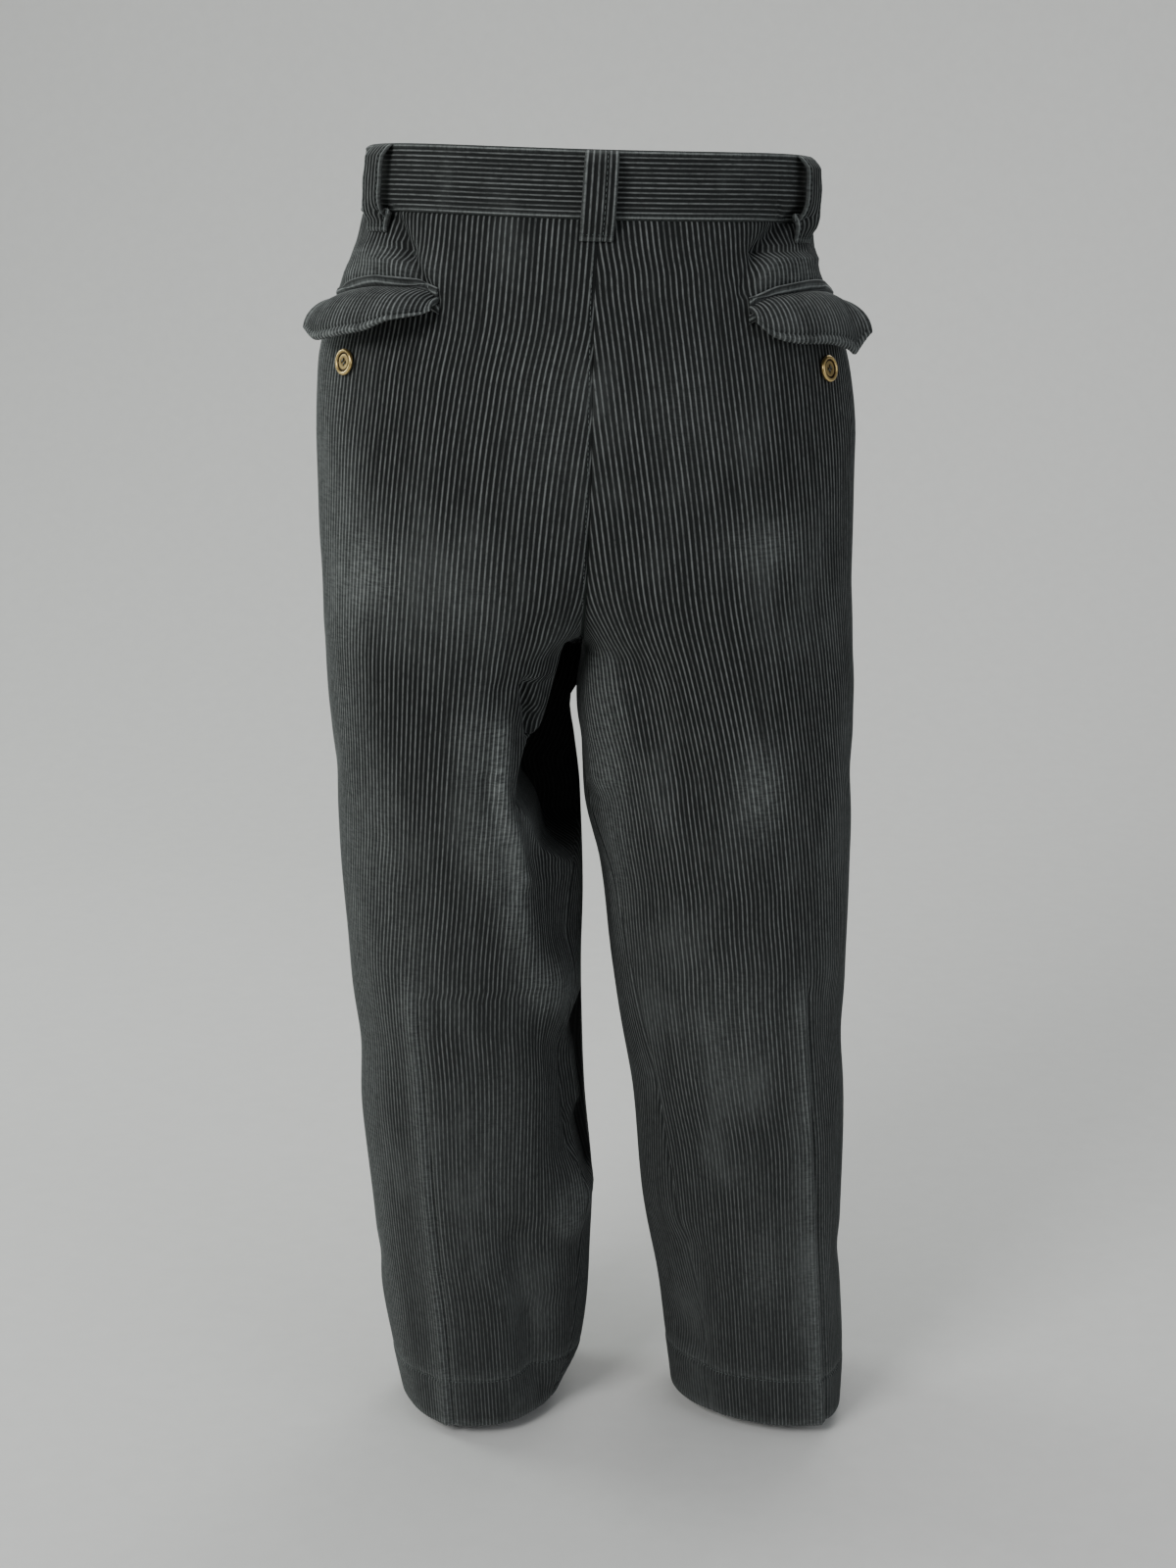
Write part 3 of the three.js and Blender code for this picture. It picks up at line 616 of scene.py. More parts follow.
def closed_grid(top, foot, start=0):
    """Points and quads of a closed wall between two grids of points, numbered from start."""
    number = numbered(*top.shape[:2]) + start
    below = number + number.size
    quads = np.concatenate([quads_of(number), quads_of(below, flip=True), rim_of(number, below)])
    return [top.reshape(-1, 3), foot.reshape(-1, 3)], quads


def even_shell(name, over, under, uv, paleness):
    """A closed cloth wall with the ribbed side of the cloth on both faces."""
    points, quads = closed_grid(over, under)
    return make_object(name, np.concatenate(points), quads, [corduroy_material()],
                       np.tile(uv.reshape(-1, 2), (2, 1)), np.tile(paleness.reshape(-1), 2))


def ribbed_shell(name, points, normals, rib, wall, uv, first=None, last=None, paleness=None, every=4,
                 extra=()):
    """A closed cloth wall: ribbed outer face, plain inner one. extra holds further closed grids of
    the plain side, as pairs of outer and inner points."""
    rows, columns = points.shape[:2]
    over = numbered(rows, columns, first, last)
    under = numbered(rows, columns, first, last, every) + rows * columns
    step = np.unique(np.append(np.arange(0, columns, every), columns - 1))
    inner_quads = quads_of(under[:, step], flip=True)
    rim = rim_of(over, under)
    outer = raised(points, normals, rib)
    inner = points - normals * wall
    quads = [quads_of(over), rim, inner_quads]
    both = [outer.reshape(-1, 3), inner.reshape(-1, 3)]
    kinds = [np.zeros(len(quads[0]) + len(rim), np.int32), np.ones(len(inner_quads), np.int32)]
    total = 2 * rows * columns
    for top, foot in extra:
        more_points, more = closed_grid(top, foot, total)
        quads.append(more)
        kinds.append(np.ones(len(more), np.int32))
        both += more_points
        total += sum(len(grid) for grid in more_points)
    flat = uv.reshape(-1, 2)
    spare = total - 2 * len(flat)
    flat = np.concatenate([flat, flat, np.zeros((spare, 2))])
    rubbed = np.broadcast_to(0.0 if paleness is None else paleness, (rows, columns)).reshape(-1)
    rubbed = np.concatenate([rubbed, np.zeros(total - len(rubbed))])
    return make_object(name, np.concatenate(both), np.concatenate(quads),
                       [corduroy_material(), backing_material()], flat, rubbed, np.concatenate(kinds))


# ---- Sizes and colours a user may change ---------------------------------------------
def hex_to_linear(code):
    """An sRGB hex colour as linear red, green, blue, alpha."""
    channels = [int(code[k:k + 2], 16) / 255 for k in (1, 3, 5)]
    linear = [c / 12.92 if c <= 0.04045 else ((c + 0.055) / 1.055) ** 2.4 for c in channels]
    return (*linear, 1.0)


def size_setting(name, description, default, low, high):
    return bpy.props.FloatProperty(name=name, description=description, default=default, min=low, max=high)


def length_setting(name, description, default):
    return bpy.props.FloatProperty(name=name, description=description, default=default, subtype="DISTANCE",
                                   unit="LENGTH")


def colour_setting(name, description, code):
    return bpy.props.FloatVectorProperty(name=name, description=description, subtype="COLOR", size=4,
                                         default=hex_to_linear(code), min=0, max=1)


class TrousersSizes(bpy.types.PropertyGroup):
    wale_pitch: size_setting("Wale pitch", "Distance from one corduroy rib to the next, in millimetres",
                             3.6, 1.5, 6.0)
    wale_height: size_setting("Wale height", "Depth of the valleys between ribs, in millimetres",
                              0.75, 0.2, 1.5)
    row_step: size_setting("Row step", "Height of one row of faces on a panel, in millimetres",
                           7.5, 4.0, 20.0)
    stitch_length: length_setting("Stitch length", "Length of one sewing stitch", 0.0026)
    stitch_gap: length_setting("Stitch gap", "Cloth between two stitches", 0.0009)
    thread_radius: length_setting("Thread radius", "Radius of the sewing thread", 0.00026)


class TrousersColours(bpy.types.PropertyGroup):
    # The crest colour is the pile's own with a painted highlight on the ribs' tops; the valley colour is the
    # ground cloth darkened with painted shade; the worn colour serves rubbed pile and painted sheen.
    crest: colour_setting("Crest", "Pile on top of the ribs", "#666968")
    shaded_valley: colour_setting("Valley", "Ground cloth between the ribs", "#0C0E0E")
    worn: colour_setting("Worn pile", "Pile where it is rubbed", "#868B89")
    thread: colour_setting("Thread", "Sewing thread", "#6A706E")
    brass: colour_setting("Brass", "Rubbed metal of the buttons", "#C9AE73")


def sizes():
    return bpy.context.scene.trousers_sizes


def colours():
    return bpy.context.scene.trousers_colours


# ---- Materials ---------------------------------------------------------------------------
class Nodes:
    """Adds nodes to a tree. Each input is a plain value or another node's output."""

    def __init__(self, tree):
        self.tree = tree

    def add(self, kind, inputs=None, **settings):
        node = self.tree.nodes.new(kind)
        for key, value in settings.items():
            setattr(node, key, value)
        for key, value in (inputs or {}).items():
            if isinstance(value, bpy.types.NodeSocket):
                self.tree.links.new(value, node.inputs[key])
            else:
                node.inputs[key].default_value = value
        return node

    def calc(self, operation, *values, clamp=False):
        node = self.add("ShaderNodeMath", dict(enumerate(values)), operation=operation, use_clamp=clamp)
        return node.outputs[0]

    def noise(self, place, detail, roughness=0.5, scale=1.0, dimensions="3D"):
        inputs = {"Vector": place, "Scale": scale, "Detail": detail, "Roughness": roughness}
        return self.add("ShaderNodeTexNoise", inputs, noise_dimensions=dimensions).outputs["Fac"]

    def stretched_noise(self, place, stretch, detail, roughness, dimensions="2D"):
        place = self.add("ShaderNodeVectorMath", {0: place, 1: stretch}, operation="MULTIPLY").outputs[0]
        return self.noise(place, detail, roughness, dimensions=dimensions)

    def ranged(self, value, low, high, to_low=0.0, to_high=1.0, shape="LINEAR"):
        inputs = {"Value": value, "From Min": low, "From Max": high, "To Min": to_low, "To Max": to_high}
        return self.add("ShaderNodeMapRange", inputs, interpolation_type=shape).outputs[0]

    def blend(self, share, first, second, kind="RGBA"):
        low, high, out = (6, 7, 2) if kind == "RGBA" else (2, 3, 0)
        return self.add("ShaderNodeMix", {0: share, low: first, high: second}, data_type=kind).outputs[out]

    def shade(self, inputs):
        shader = self.add("ShaderNodeBsdfPrincipled", inputs)
        self.add("ShaderNodeOutputMaterial", {"Surface": shader.outputs[0]})


def new_material(name):
    material = bpy.data.materials.get(name) or bpy.data.materials.new(name)
    material.use_nodes = True
    material.node_tree.nodes.clear()
    return material, Nodes(material.node_tree)


def corduroy_material():
    """Cotton corduroy, cut pile on a woven ground: dull, darker between its ribs, with a pale
    sheen where the pile is seen edge on and lighter patches where it is rubbed."""
    material, nodes = new_material("cotton_corduroy")
    shades = colours()
    place = nodes.add("ShaderNodeTexCoord")
    # The UV map holds millimetres: u across the wales, v along them.
    cloth_mm = place.outputs["UV"]
    across = nodes.add("ShaderNodeSeparateXYZ", {"Vector": cloth_mm}).outputs["X"]
    cycle = nodes.calc("PINGPONG", nodes.calc("DIVIDE", across, sizes().wale_pitch), 0.5)
    crest = nodes.ranged(cycle, 0.24, 0.48, shape="SMOOTHSTEP")
    # Tufts along each wale, drawn coarser than real ones so that they show, and streaks, where
    # single ribs catch the light more than their neighbours.
    tufts = nodes.stretched_noise(cloth_mm, (0.55, 0.16, 1.0), 4.0, 0.75)
    streaks = nodes.stretched_noise(cloth_mm, (0.28, 0.012, 1.0), 2.0, 0.7)
    lift = nodes.calc("MULTIPLY", crest, streaks)
    lift = nodes.calc("MULTIPLY_ADD", lift, nodes.ranged(tufts, 0.12, 0.80), 0.05)
    sharp = nodes.ranged(lift, 0.04, 0.42)
    # Towards the hems the stripes give way to a flatter tone, and in broad, cloudy patches the pile lies
    # over and hides the valleys.
    clouds = nodes.stretched_noise(place.outputs["Object"], (14.0, 14.0, 7.0), 4.0, 0.6, "3D")
    patches = nodes.ranged(clouds, 0.47, 0.72, shape="SMOOTHSTEP")
    spot = nodes.add("ShaderNodeSeparateXYZ", {"Vector": place.outputs["Object"]})
    low = nodes.ranged(spot.outputs["Z"], -0.38, -0.90, 0.0, 0.46)
    laid = nodes.calc("MULTIPLY_ADD", patches, 0.5, low, clamp=True)
    pile = nodes.blend(laid, sharp, nodes.calc("MULTIPLY_ADD", tufts, 0.30, 0.09), "FLOAT")
    # Painted light: painted shade in the valleys and a painted highlight along the crests, over the pile's
    # own colour.
    colour = nodes.blend(pile, tuple(shades.shaded_valley), tuple(shades.crest))
    # This attribute mixes in the worn colour: on rubbed pile, where the pale pile also fills the valleys a
    # little, as painted sheen on the left hip's side, and on raised folds and creases by their height; brush
    # marks across the wales break it up. Below 0 it marks painted shade inside the hollows, mixed nearly to
    # black.
    paleness = nodes.add("ShaderNodeAttribute", attribute_name="paleness").outputs["Fac"]
    brush = nodes.stretched_noise(cloth_mm, (0.10, 0.55, 1.0), 4.0, 0.7)
    worn = nodes.calc("MULTIPLY", paleness, nodes.ranged(pile, 0.0, 1.0, 0.30, 1.0))
    worn = nodes.calc("MULTIPLY", worn, nodes.ranged(brush, 0.35, 0.65, 0.35, 1.35), clamp=True)
    rubbed = nodes.calc("MULTIPLY_ADD", nodes.calc("MULTIPLY", patches, pile), 0.4, worn, clamp=True)
    colour = nodes.blend(rubbed, colour, tuple(shades.worn))
    # Painted shade: inside the hollows the colour is mixed nearly to black.
    painted_hollow_shade = nodes.calc("MULTIPLY", paleness, -0.92, clamp=True)
    colour = nodes.blend(painted_hollow_shade, colour, hex_to_linear("#040404"))
    height = nodes.calc("MULTIPLY_ADD", crest, 0.5, tufts)
    bump = nodes.add("ShaderNodeBump", {"Strength": 0.55, "Distance": 0.0004, "Height": height})
    nodes.shade({"Base Color": colour, "Normal": bump.outputs[0], "Roughness": 0.88,
                 "Specular IOR Level": 0.18, "Sheen Weight": 0.22, "Sheen Roughness": 0.45,
                 "Sheen Tint": hex_to_linear("#AEB3B1")})
    return material


def speckled_material(name, scale, detail, first, second, shading):
    """A plain material whose colour varies a little between two shades."""
    material, nodes = new_material(name)
    specks = nodes.noise(nodes.add("ShaderNodeTexCoord").outputs["Object"], detail, scale=scale)
    nodes.shade({"Base Color": nodes.blend(specks, first, second), **shading})
    return material


def thread_material():
    """Polyester-cotton sewing thread, spun and slightly shiny, a little lighter than the cloth."""
    return speckled_material("spun_sewing_thread", 2500.0, 1.0, hex_to_linear("#2B3231"),
                             tuple(colours().thread), {"Roughness": 0.6, "Specular IOR Level": 0.3})


def backing_material():
    """The woven ground of the corduroy, on its inside: plain, dark and dull."""
    return speckled_material("woven_cotton_backing", 900.0, 2.0, hex_to_linear("#242826"),
                             hex_to_linear("#363B39"), {"Roughness": 0.95, "Specular IOR Level": 0.1})


def studio_material():
    """Matt painted studio floor, rolled: pale and even."""
    return speckled_material("matt_studio_paint", 60.0, 2.0, hex_to_linear("#D2D2CF"),
                             hex_to_linear("#D9D9D6"), {"Roughness": 0.9})


def brass_material():
    """Turned brass, lacquer long gone: polished where it is rubbed, brown-black in its recesses."""
    material, nodes = new_material("aged_turned_brass")
    place = nodes.add("ShaderNodeTexCoord").outputs["Object"]
    stains = nodes.noise(place, 4.0, 0.65, scale=420.0)
    polish = nodes.add("ShaderNodeAttribute", attribute_name="paleness").outputs["Fac"]
    clean = nodes.calc("ADD", nodes.calc("MULTIPLY_ADD", stains, 0.75, -0.12), polish, clamp=True)
    nodes.shade({"Base Color": nodes.blend(clean, hex_to_linear("#2A1D0F"), tuple(colours().brass)),
                 "Roughness": nodes.ranged(clean, 0.0, 1.0, 0.62, 0.28), "Metallic": 0.9})
    return material


# ---- Pieces ---------------------------------------------------------------------------------
def finish_cloth(piece, nodes):
    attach(piece, "root")
    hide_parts(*nodes)


def panel_turn(side, face, share, level):
    twist = np.radians(SHAPE[name_of(side) + "Twist"](level))
    end = end_turn(level)
    inset = EDGE_INSET / girth(side, face * share * end - twist, level)
    return face * (inset + share * (end - 2 * inset)) - twist


# How far a panel's edge stays off the seam line, so that two panels leave a gap between them.
EDGE_INSET = 0.1

# Rows of faces lie closer where the cloth bends most: from, to, share of the usual step.
CLOSE_ROWS = ((-44, -125, 0.6), (-285, -325, 0.7), (-325, -357, 0.27), (-357, -400, 0.6), (-400, -422, 0.36),
              (-422, -470, 0.6), (-470, -522, 0.5), (-600, -620, 0.5), (-748, -785, 0.7))
# Rows round the hem's stitching and, above the lower edge, at the hem's fold.
STITCH_ROWS = (2.2, 1.2, 0.4, -0.4, -1.2, -2.2, -6, -12, -18, -24, -30)
HEM_EDGE_ROWS = (2.4, 0.9, 0.1)


def panel_levels(step):
    top = -BAND_HEIGHT - SEAM_GAP
    stitch_line = -LENGTH + HEM_DEPTH
    rows = [top, top - 1.2]
    while rows[-1] > stitch_line + 6:
        shares = [share for high, low, share in CLOSE_ROWS if low < rows[-1] <= high]
        rows.append(rows[-1] - step * min(shares, default=1))
    rows = [row for row in rows if row > stitch_line + 3]
    rows += [stitch_line + offset for offset in STITCH_ROWS]
    rows += [-LENGTH + offset for offset in HEM_EDGE_ROWS]
    return np.array(rows)


# How much paler each part is drawn: pressed creases and raised folds for each millimetre that they rise, the
# left hip's side as painted sheen, and the rubbed hem's fold and the line of its stitching.
WEAR_AND_PAINTED_SHEEN = {"pressed": 0.11, "folds": 0.06, "left_side_sheen": 0.34, "hem_fold": 0.35, "hem_stitching": 0.25}


def wear_and_painted_light_of(side, points, normals, levels):
    """How rubbed the cloth is, from 0 to 1, or below 0 where the pile is untouched, in a hollow."""
    paleness = np.zeros(points.shape[:-1])
    back = smooth_step(0.1, 0.6, -normals[..., 1])
    for patch_side, x, z, wide, high, strength in WORN_PATCHES:
        if patch_side == side:
            paleness += strength * back * hump(points[..., 0], x, wide) * hump(points[..., 2], z, high)
    ridges = [fold for fold in PRESSED_FOLDS if fold[6] > 0]
    paleness += WEAR_AND_PAINTED_SHEEN["pressed"] * np.clip(relief(side, points, normals, ridges, pressed=True), 0, 3)
    paleness += WEAR_AND_PAINTED_SHEEN["folds"] * np.clip(relief(side, points, normals, MAIN_FOLDS + FINE_FOLDS), 0, 5)
    # Painted sheen: the left hip's side, which faces the light, is drawn paler.
    if side < 0:
        sideways = smooth_step(0.55, 0.92, -normals[..., 0])
        paleness += WEAR_AND_PAINTED_SHEEN["left_side_sheen"] * sideways * smooth_step(-40, -140, points[..., 2])
    paleness += WEAR_AND_PAINTED_SHEEN["hem_fold"] * hump(levels, 1.2 - LENGTH, 2.0)
    paleness += WEAR_AND_PAINTED_SHEEN["hem_stitching"] * hump(levels, HEM_DEPTH + 2.6 - LENGTH, 2.2)
    # Inside a hollow the value turns negative: painted shade, which the material mixes nearly to black.
    inside = folded(side, points)
    return np.clip(paleness, 0, 1) * (1 - inside) - inside


TAPE_WIDTH = 6.0
TAPE_AIR = 0.35
TAPE_WALL = 0.9


def seam_tape(runs, levels, wall=CLOTH):
    """The seam allowance pressed flat behind a seam. runs: (side, turn of the seam, way) for each
    half of it, way being the direction of turn in which it lies."""
    columns = []
    for side, seam, way in runs:
        aside = np.array([TAPE_WIDTH, TAPE_WIDTH / 2, 0.0])[None, :]
        turn = seam[:, None] + way * aside / girth(side, seam[:, None], levels[:, None])
        columns.append((side, turn[:, ::-1] if columns else turn))
    top, foot = [
        np.concatenate([cloth(side, turn, levels[:, None], np.full(turn.shape, -depth))
                        for side, turn in columns], axis=1)
        for depth in (wall + TAPE_AIR, wall + TAPE_AIR + TAPE_WALL)
    ]
    return top, foot


def panel_tapes(side, face):
    """Seam allowances that this panel carries: the back panels carry the side seam and the inside
    leg seam, and the left ones carry the centre seams."""
    tapes = []
    if face > 0:
        for base, top, rows in ((0, -48, 90), (math.pi, CROTCH - 10, 70)):
            levels = np.linspace(top, -LENGTH + 4, rows)
            seam = base - np.radians(SHAPE[name_of(side) + "Twist"](levels))
            tapes.append(seam_tape([(side, seam, 1), (side, seam, -1)], levels))
    if side < 0:
        levels = np.linspace(-48, CROTCH + 8, 40)
        seam = face * end_turn(levels)
        tapes.append(seam_tape([(-1, seam, -face), (1, seam, -face)], levels))
    return tapes


SAMPLES_ROUND = 420
COLUMNS_PER_WALE = 4
# Depth and width of the dips where the cloth rolls into a seam, into the hem's stitching, under the
# waistband and round the hem's lower edge, and how far the turned-up hem stands out.
SEAM_DIP = (1.1, 1.5)
STITCH_DIP = (0.7, 1.1)
BAND_DIP = (0.8, 1.2)
HEM_ROLL = (1.2, 2.4)
HEM_RISE = 0.5


def build_panel(side, face):
    """One leg panel from waistband to hem, with its wales following the grain."""
    name = name_of(side)
    levels = panel_levels(sizes().row_step)[:, None]
    share = np.linspace(0, 1, SAMPLES_ROUND)[None, :]
    turn = panel_turn(side, face, share, levels)
    fine = surface(side, turn, levels)
    step = np.linalg.norm(np.diff(fine, axis=1), axis=-1)
    arc = np.concatenate([np.zeros((len(levels), 1)), np.cumsum(step, axis=1)], axis=1)
    label = ("back" if face > 0 else "front") + "_" + name
    grain_x = GRAIN_CURVE[label](levels[:, 0])
    start = np.empty(len(levels))
    for j in range(len(levels)):
        widest = int(np.argmax(side * fine[j, :, 0]))
        inward = np.maximum.accumulate(-side * fine[j, widest:, 0])
        start[j] = np.interp(-side * grain_x[j], inward, arc[j, widest:])
    # Distances across the wales are kept in usual pitches, so that each column stays on its wale.
    spread = WALE_SPREAD_CURVE(levels)
    across = (arc - start[:, None]) / spread
    pitch = sizes().wale_pitch
    quarter = pitch / COLUMNS_PER_WALE
    count_low = math.floor(across[:, 0].min() / quarter)
    count_high = math.ceil(across[:, -1].max() / quarter)
    stations = np.arange(count_low, count_high + 1) * quarter
    rows, columns = len(levels), len(stations)
    shares = np.empty((rows, columns))
    first = np.empty(rows, int)
    last = np.empty(rows, int)
    for j in range(rows):
        shares[j] = np.interp(stations, across[j], share[0])
        inside = np.flatnonzero((stations > across[j, 0]) & (stations < across[j, -1]))
        first[j], last[j] = inside[0] - 1, inside[-1] + 1
    placed = np.clip(stations[None, :], across[:, :1], across[:, -1:])
    turn = panel_turn(side, face, shares, levels)
    points, normals = framed(side, turn, levels)
    to_seam = np.minimum(placed - across[:, :1], across[:, -1:] - placed) * spread
    rib = ribs(placed, pitch, sizes().wale_height) * spread * smooth_step(0, 2.0, to_seam)
    rib *= 1 - 0.8 * folded(side, points)
    rib -= SEAM_DIP[0] * hump(to_seam, 0, SEAM_DIP[1])
    above_hem = levels + LENGTH
    rib -= STITCH_DIP[0] * hump(above_hem, HEM_DEPTH, STITCH_DIP[1])
    rib += HEM_RISE * smooth_step(-1, 1, HEM_DEPTH - 1.5 - above_hem)
    rib -= HEM_ROLL[0] * (1 - smooth_step(0, HEM_ROLL[1], above_hem)) ** 2
    rib -= BAND_DIP[0] * hump(levels, levels[0], BAND_DIP[1])
    uv = np.stack([placed, np.broadcast_to(levels, placed.shape)], axis=-1)
    piece = ribbed_shell("cloth_" + label, points, normals, rib, CLOTH, uv, first, last,
                         wear_and_painted_light_of(side, points, normals, levels), extra=panel_tapes(side, face))
    finish_cloth(piece, [label])
    return piece


BAND_JOINT = 124.0
BAND_WALES = 14
BAND_COLUMNS = 170


def build_band(side):
    """Half of the waistband, its wales running round the waist."""
    pitch = BAND_HEIGHT / BAND_WALES
    quarters = np.arange(1, COLUMNS_PER_WALE * BAND_WALES) * pitch / COLUMNS_PER_WALE
    down = np.concatenate([[0.0, 0.35], quarters, [BAND_HEIGHT - 0.35, BAND_HEIGHT]])
    turn = np.linspace(math.pi / 2, -math.pi / 2, BAND_COLUMNS)[None, :]
    levels = -down[:, None]
    points, normals = framed(side, turn, levels)
    from_edge = np.minimum(down, BAND_HEIGHT - down)[:, None]
    rib = ribs(down, pitch, sizes().wale_height * 0.6)[:, None] + BAND_PROUD + 0.2
    rib = rib - 1.3 * hump(from_edge, 0, 0.7) + 0.35 * hump(from_edge, 2.2, 1.2)
    if side > 0:
        x, at_back = points[..., 0], points[..., 1] < 0
        rib = rib - (0.9 * hump(x, BAND_JOINT, 1.0) - 0.3 * hump(x, BAND_JOINT + 3, 2.0)) * at_back
    ripple = 0.25 * np.sin(turn * 23 + side) * np.sin(down[:, None] * 0.21 + 1.1)
    rib = rib + ripple * smooth_step(0, 4, from_edge)
    length = run_along(points[0])
    uv = np.stack(np.broadcast_arrays(down[:, None] * sizes().wale_pitch / pitch, length[None, :]), axis=-1)
    label = "waistband_" + name_of(side)
    paleness = 0.04 + 0.45 * hump(from_edge, 1.5, 1.3)
    tapes = []
    if side < 0:
        rows = np.linspace(-0.6, -BAND_HEIGHT + 0.4, 12)
        for face in (1, -1):
            seam = np.full(len(rows), face * math.pi / 2)
            tapes.append(seam_tape([(-1, seam, -face), (1, seam, -face)], rows, BAND_WALL - BAND_PROUD))
    piece = ribbed_shell("cloth_" + label, points, normals, rib, BAND_WALL - BAND_PROUD, uv, paleness=paleness,
                         extra=tapes)
    finish_cloth(piece, [label])
    return piece


LOOP_PROFILE = ((0, BAND_PROUD + SEAM_GAP), (4, 0.62 * LOOP_STAND), (9, LOOP_STAND), (24, LOOP_STAND + 0.5),
                (39, LOOP_STAND), (46, 0.8 * LOOP_STAND), (51, 0.35 * LOOP_STAND), (LOOP_LENGTH, LOOP_SEAT))
LOOP_OFF = curve_through(*zip(*LOOP_PROFILE))


def loop_place(label, across, level):
    """Side and turn of spots across a belt loop, by its name."""
    if label == "back":
        x = across + BACK_LOOP_ASIDE + BACK_LOOP_LEAN * (level + LOOP_LENGTH / 2)
        side = np.where(x < 0, -1, 1)
        return side, math.pi / 2 - np.abs(x) / girth(1, math.pi / 2, level)
    kind, name = label.split("_")
    side = SIDES[name]
    centre = math.radians(SIDE_LOOP_TURN[name] if kind == "side" else FRONT_LOOP_TURN)
    return np.full(np.shape(across), side), centre + across / girth(side, centre, level)


def loop_surface(label, across, level):
    across, level = np.broadcast_arrays(np.asarray(across, float), np.asarray(level, float))
    side, turn = loop_place(label, across, level)
    right, right_normal = framed(1, turn, level)
    left, left_normal = framed(-1, turn, level)
    on_right = (side > 0)[..., None]
    return np.where(on_right, right, left), np.where(on_right, right_normal, left_normal)


def build_loop(label):
    """A belt loop: doubled cloth, three or four wales wide, folded under at both ends."""
    pitch = LOOP_WIDTH / 6
    across = np.concatenate([[-LOOP_WIDTH / 2, -LOOP_WIDTH / 2 + 0.3], np.arange(-11, 12) * pitch / 4,
                             [LOOP_WIDTH / 2 - 0.3, LOOP_WIDTH / 2]])[None, :]
    down = np.linspace(0, LOOP_LENGTH, 70)[:, None]
    points, normals = loop_surface(label, across, LOOP_TOP - down)
    off = LOOP_OFF(down)
    wave = 0.45 * np.sin(down * 0.34 + len(label)) * across / LOOP_WIDTH
    points = raised(points, normals, off + LOOP_WALL - 0.2 + wave)
    to_side = LOOP_WIDTH / 2 - np.abs(across)
    to_end = np.minimum(down, LOOP_LENGTH - down)
    rib = ribs(across, pitch, sizes().wale_height) + 0.4
    rib = rib - 1.0 * hump(to_side, 0, 0.6) - 0.9 * hump(to_end, 0, 0.9) - 0.35 * hump(to_side, 3.0, 0.5)
    uv = np.stack(np.broadcast_arrays(across * sizes().wale_pitch / pitch, down), axis=-1)
    node = "belt_loop_" + label
    paleness = 0.7 * hump(to_side, 0.9, 0.9) + 0.4 * hump(to_end, 1.2, 1.2)
    piece = ribbed_shell("cloth_" + node, points, normals, rib, LOOP_WALL - 0.3, uv, paleness=paleness)
    finish_cloth(piece, [node])
    return piece


def mouth_points(side, along, lower, out):
    """Spots on the back at a distance below the pocket mouth."""
    mouth = MOUTH[name_of(side)]
    turn, level = back_place(side, mouth["across"](along), mouth["up"](along) - lower)
    points, normals = framed(side, turn, level)
    return raised(points, normals, out), normals


LIP_PITCH = 3.0


def build_lip(side, rise):
    """A lip of the hip pocket: a narrow folded strip of two wales."""
    along = np.linspace(0, 1, 70)[None, :]
    gap = FLAP_WALL / 2 + SEAM_GAP + (FLAP_BEND_ROOM if rise < 0 else 0)
    height = np.linspace(0, LIP_HEIGHT, 21)[:, None]
    roll = np.sin(np.clip(height / LIP_HEIGHT, 0, 1) * math.pi) ** 0.5
    out = LIP_SEAT + 0.5 + 1.7 * roll
    points, normals = mouth_points(side, along, -rise * (gap + height), out)
    rib = ribs(height + LIP_PITCH / 2, LIP_PITCH, 0.5) * roll * np.ones_like(along)
    length = run_along(points[0])
    across = (height + LIP_PITCH / 2) * sizes().wale_pitch / LIP_PITCH
    uv = np.stack(np.broadcast_arrays(across, length[None, :]), axis=-1)
    label = "pocket_welt_" + ("upper_" if rise > 0 else "lower_") + name_of(side)
    under = points - normals * (0.5 + 1.5 * roll[..., None])
    paleness = 0.75 * roll**4 * np.ones_like(along)
    piece = even_shell("cloth_" + label, raised(points, normals, rib), under, uv, paleness)
    finish_cloth(piece, [label])
    return piece


# Where the flaps are bent out of their plain arch: place along and down, width and height, mm out.
FLAP_BENDS = {
    "left": ((0.62, 0.35, 0.3, 0.2, 1.2),),
    "right": ((0.24, 0.8, 0.05, 0.6, -3.0), (0.05, 0.95, 0.12, 0.4, 1.5)),
}


def flap_middle(side, along, down):
    """Middle surface of a flap: straight out of the mouth, then bent down to its free edge."""
    name = name_of(side)
    mouth = MOUTH[name]
    along, down = np.broadcast_arrays(np.asarray(along, float), np.asarray(down, float))
    turn, level = back_place(side, mouth["across"](along), mouth["up"](along))
    root = cloth(side, turn, level, FLAP_SEAT)
    away = outward(side, turn, level)
    away[..., 2] = 0
    away /= np.linalg.norm(away, axis=-1, keepdims=True)
    bend = down * math.pi / 2
    points = root + away * (mouth["out"](along) * np.sin(bend))[..., None]
    points[..., 2] -= mouth["hang"](along) * (1 - np.cos(bend))
    for place, drop, wide, high, rise in FLAP_BENDS[name]:
        shape = rise * hump(along, place, wide) * hump(down, drop, high)
        points[..., 2] += shape * smooth_step(0.15, 0.6, down)
    return points


def flap_frame(side, along, down):
    step = 1e-3
    points = flap_middle(side, along, down)
    du = flap_middle(side, along + step, down) - flap_middle(side, along - step, down)
    dv = flap_middle(side, along, down + step) - flap_middle(side, along, down - step)
    normal = np.cross(du, dv)
    normal /= np.linalg.norm(normal, axis=-1, keepdims=True)
    return points, np.where(normal[..., 2:3] < 0, -normal, normal)


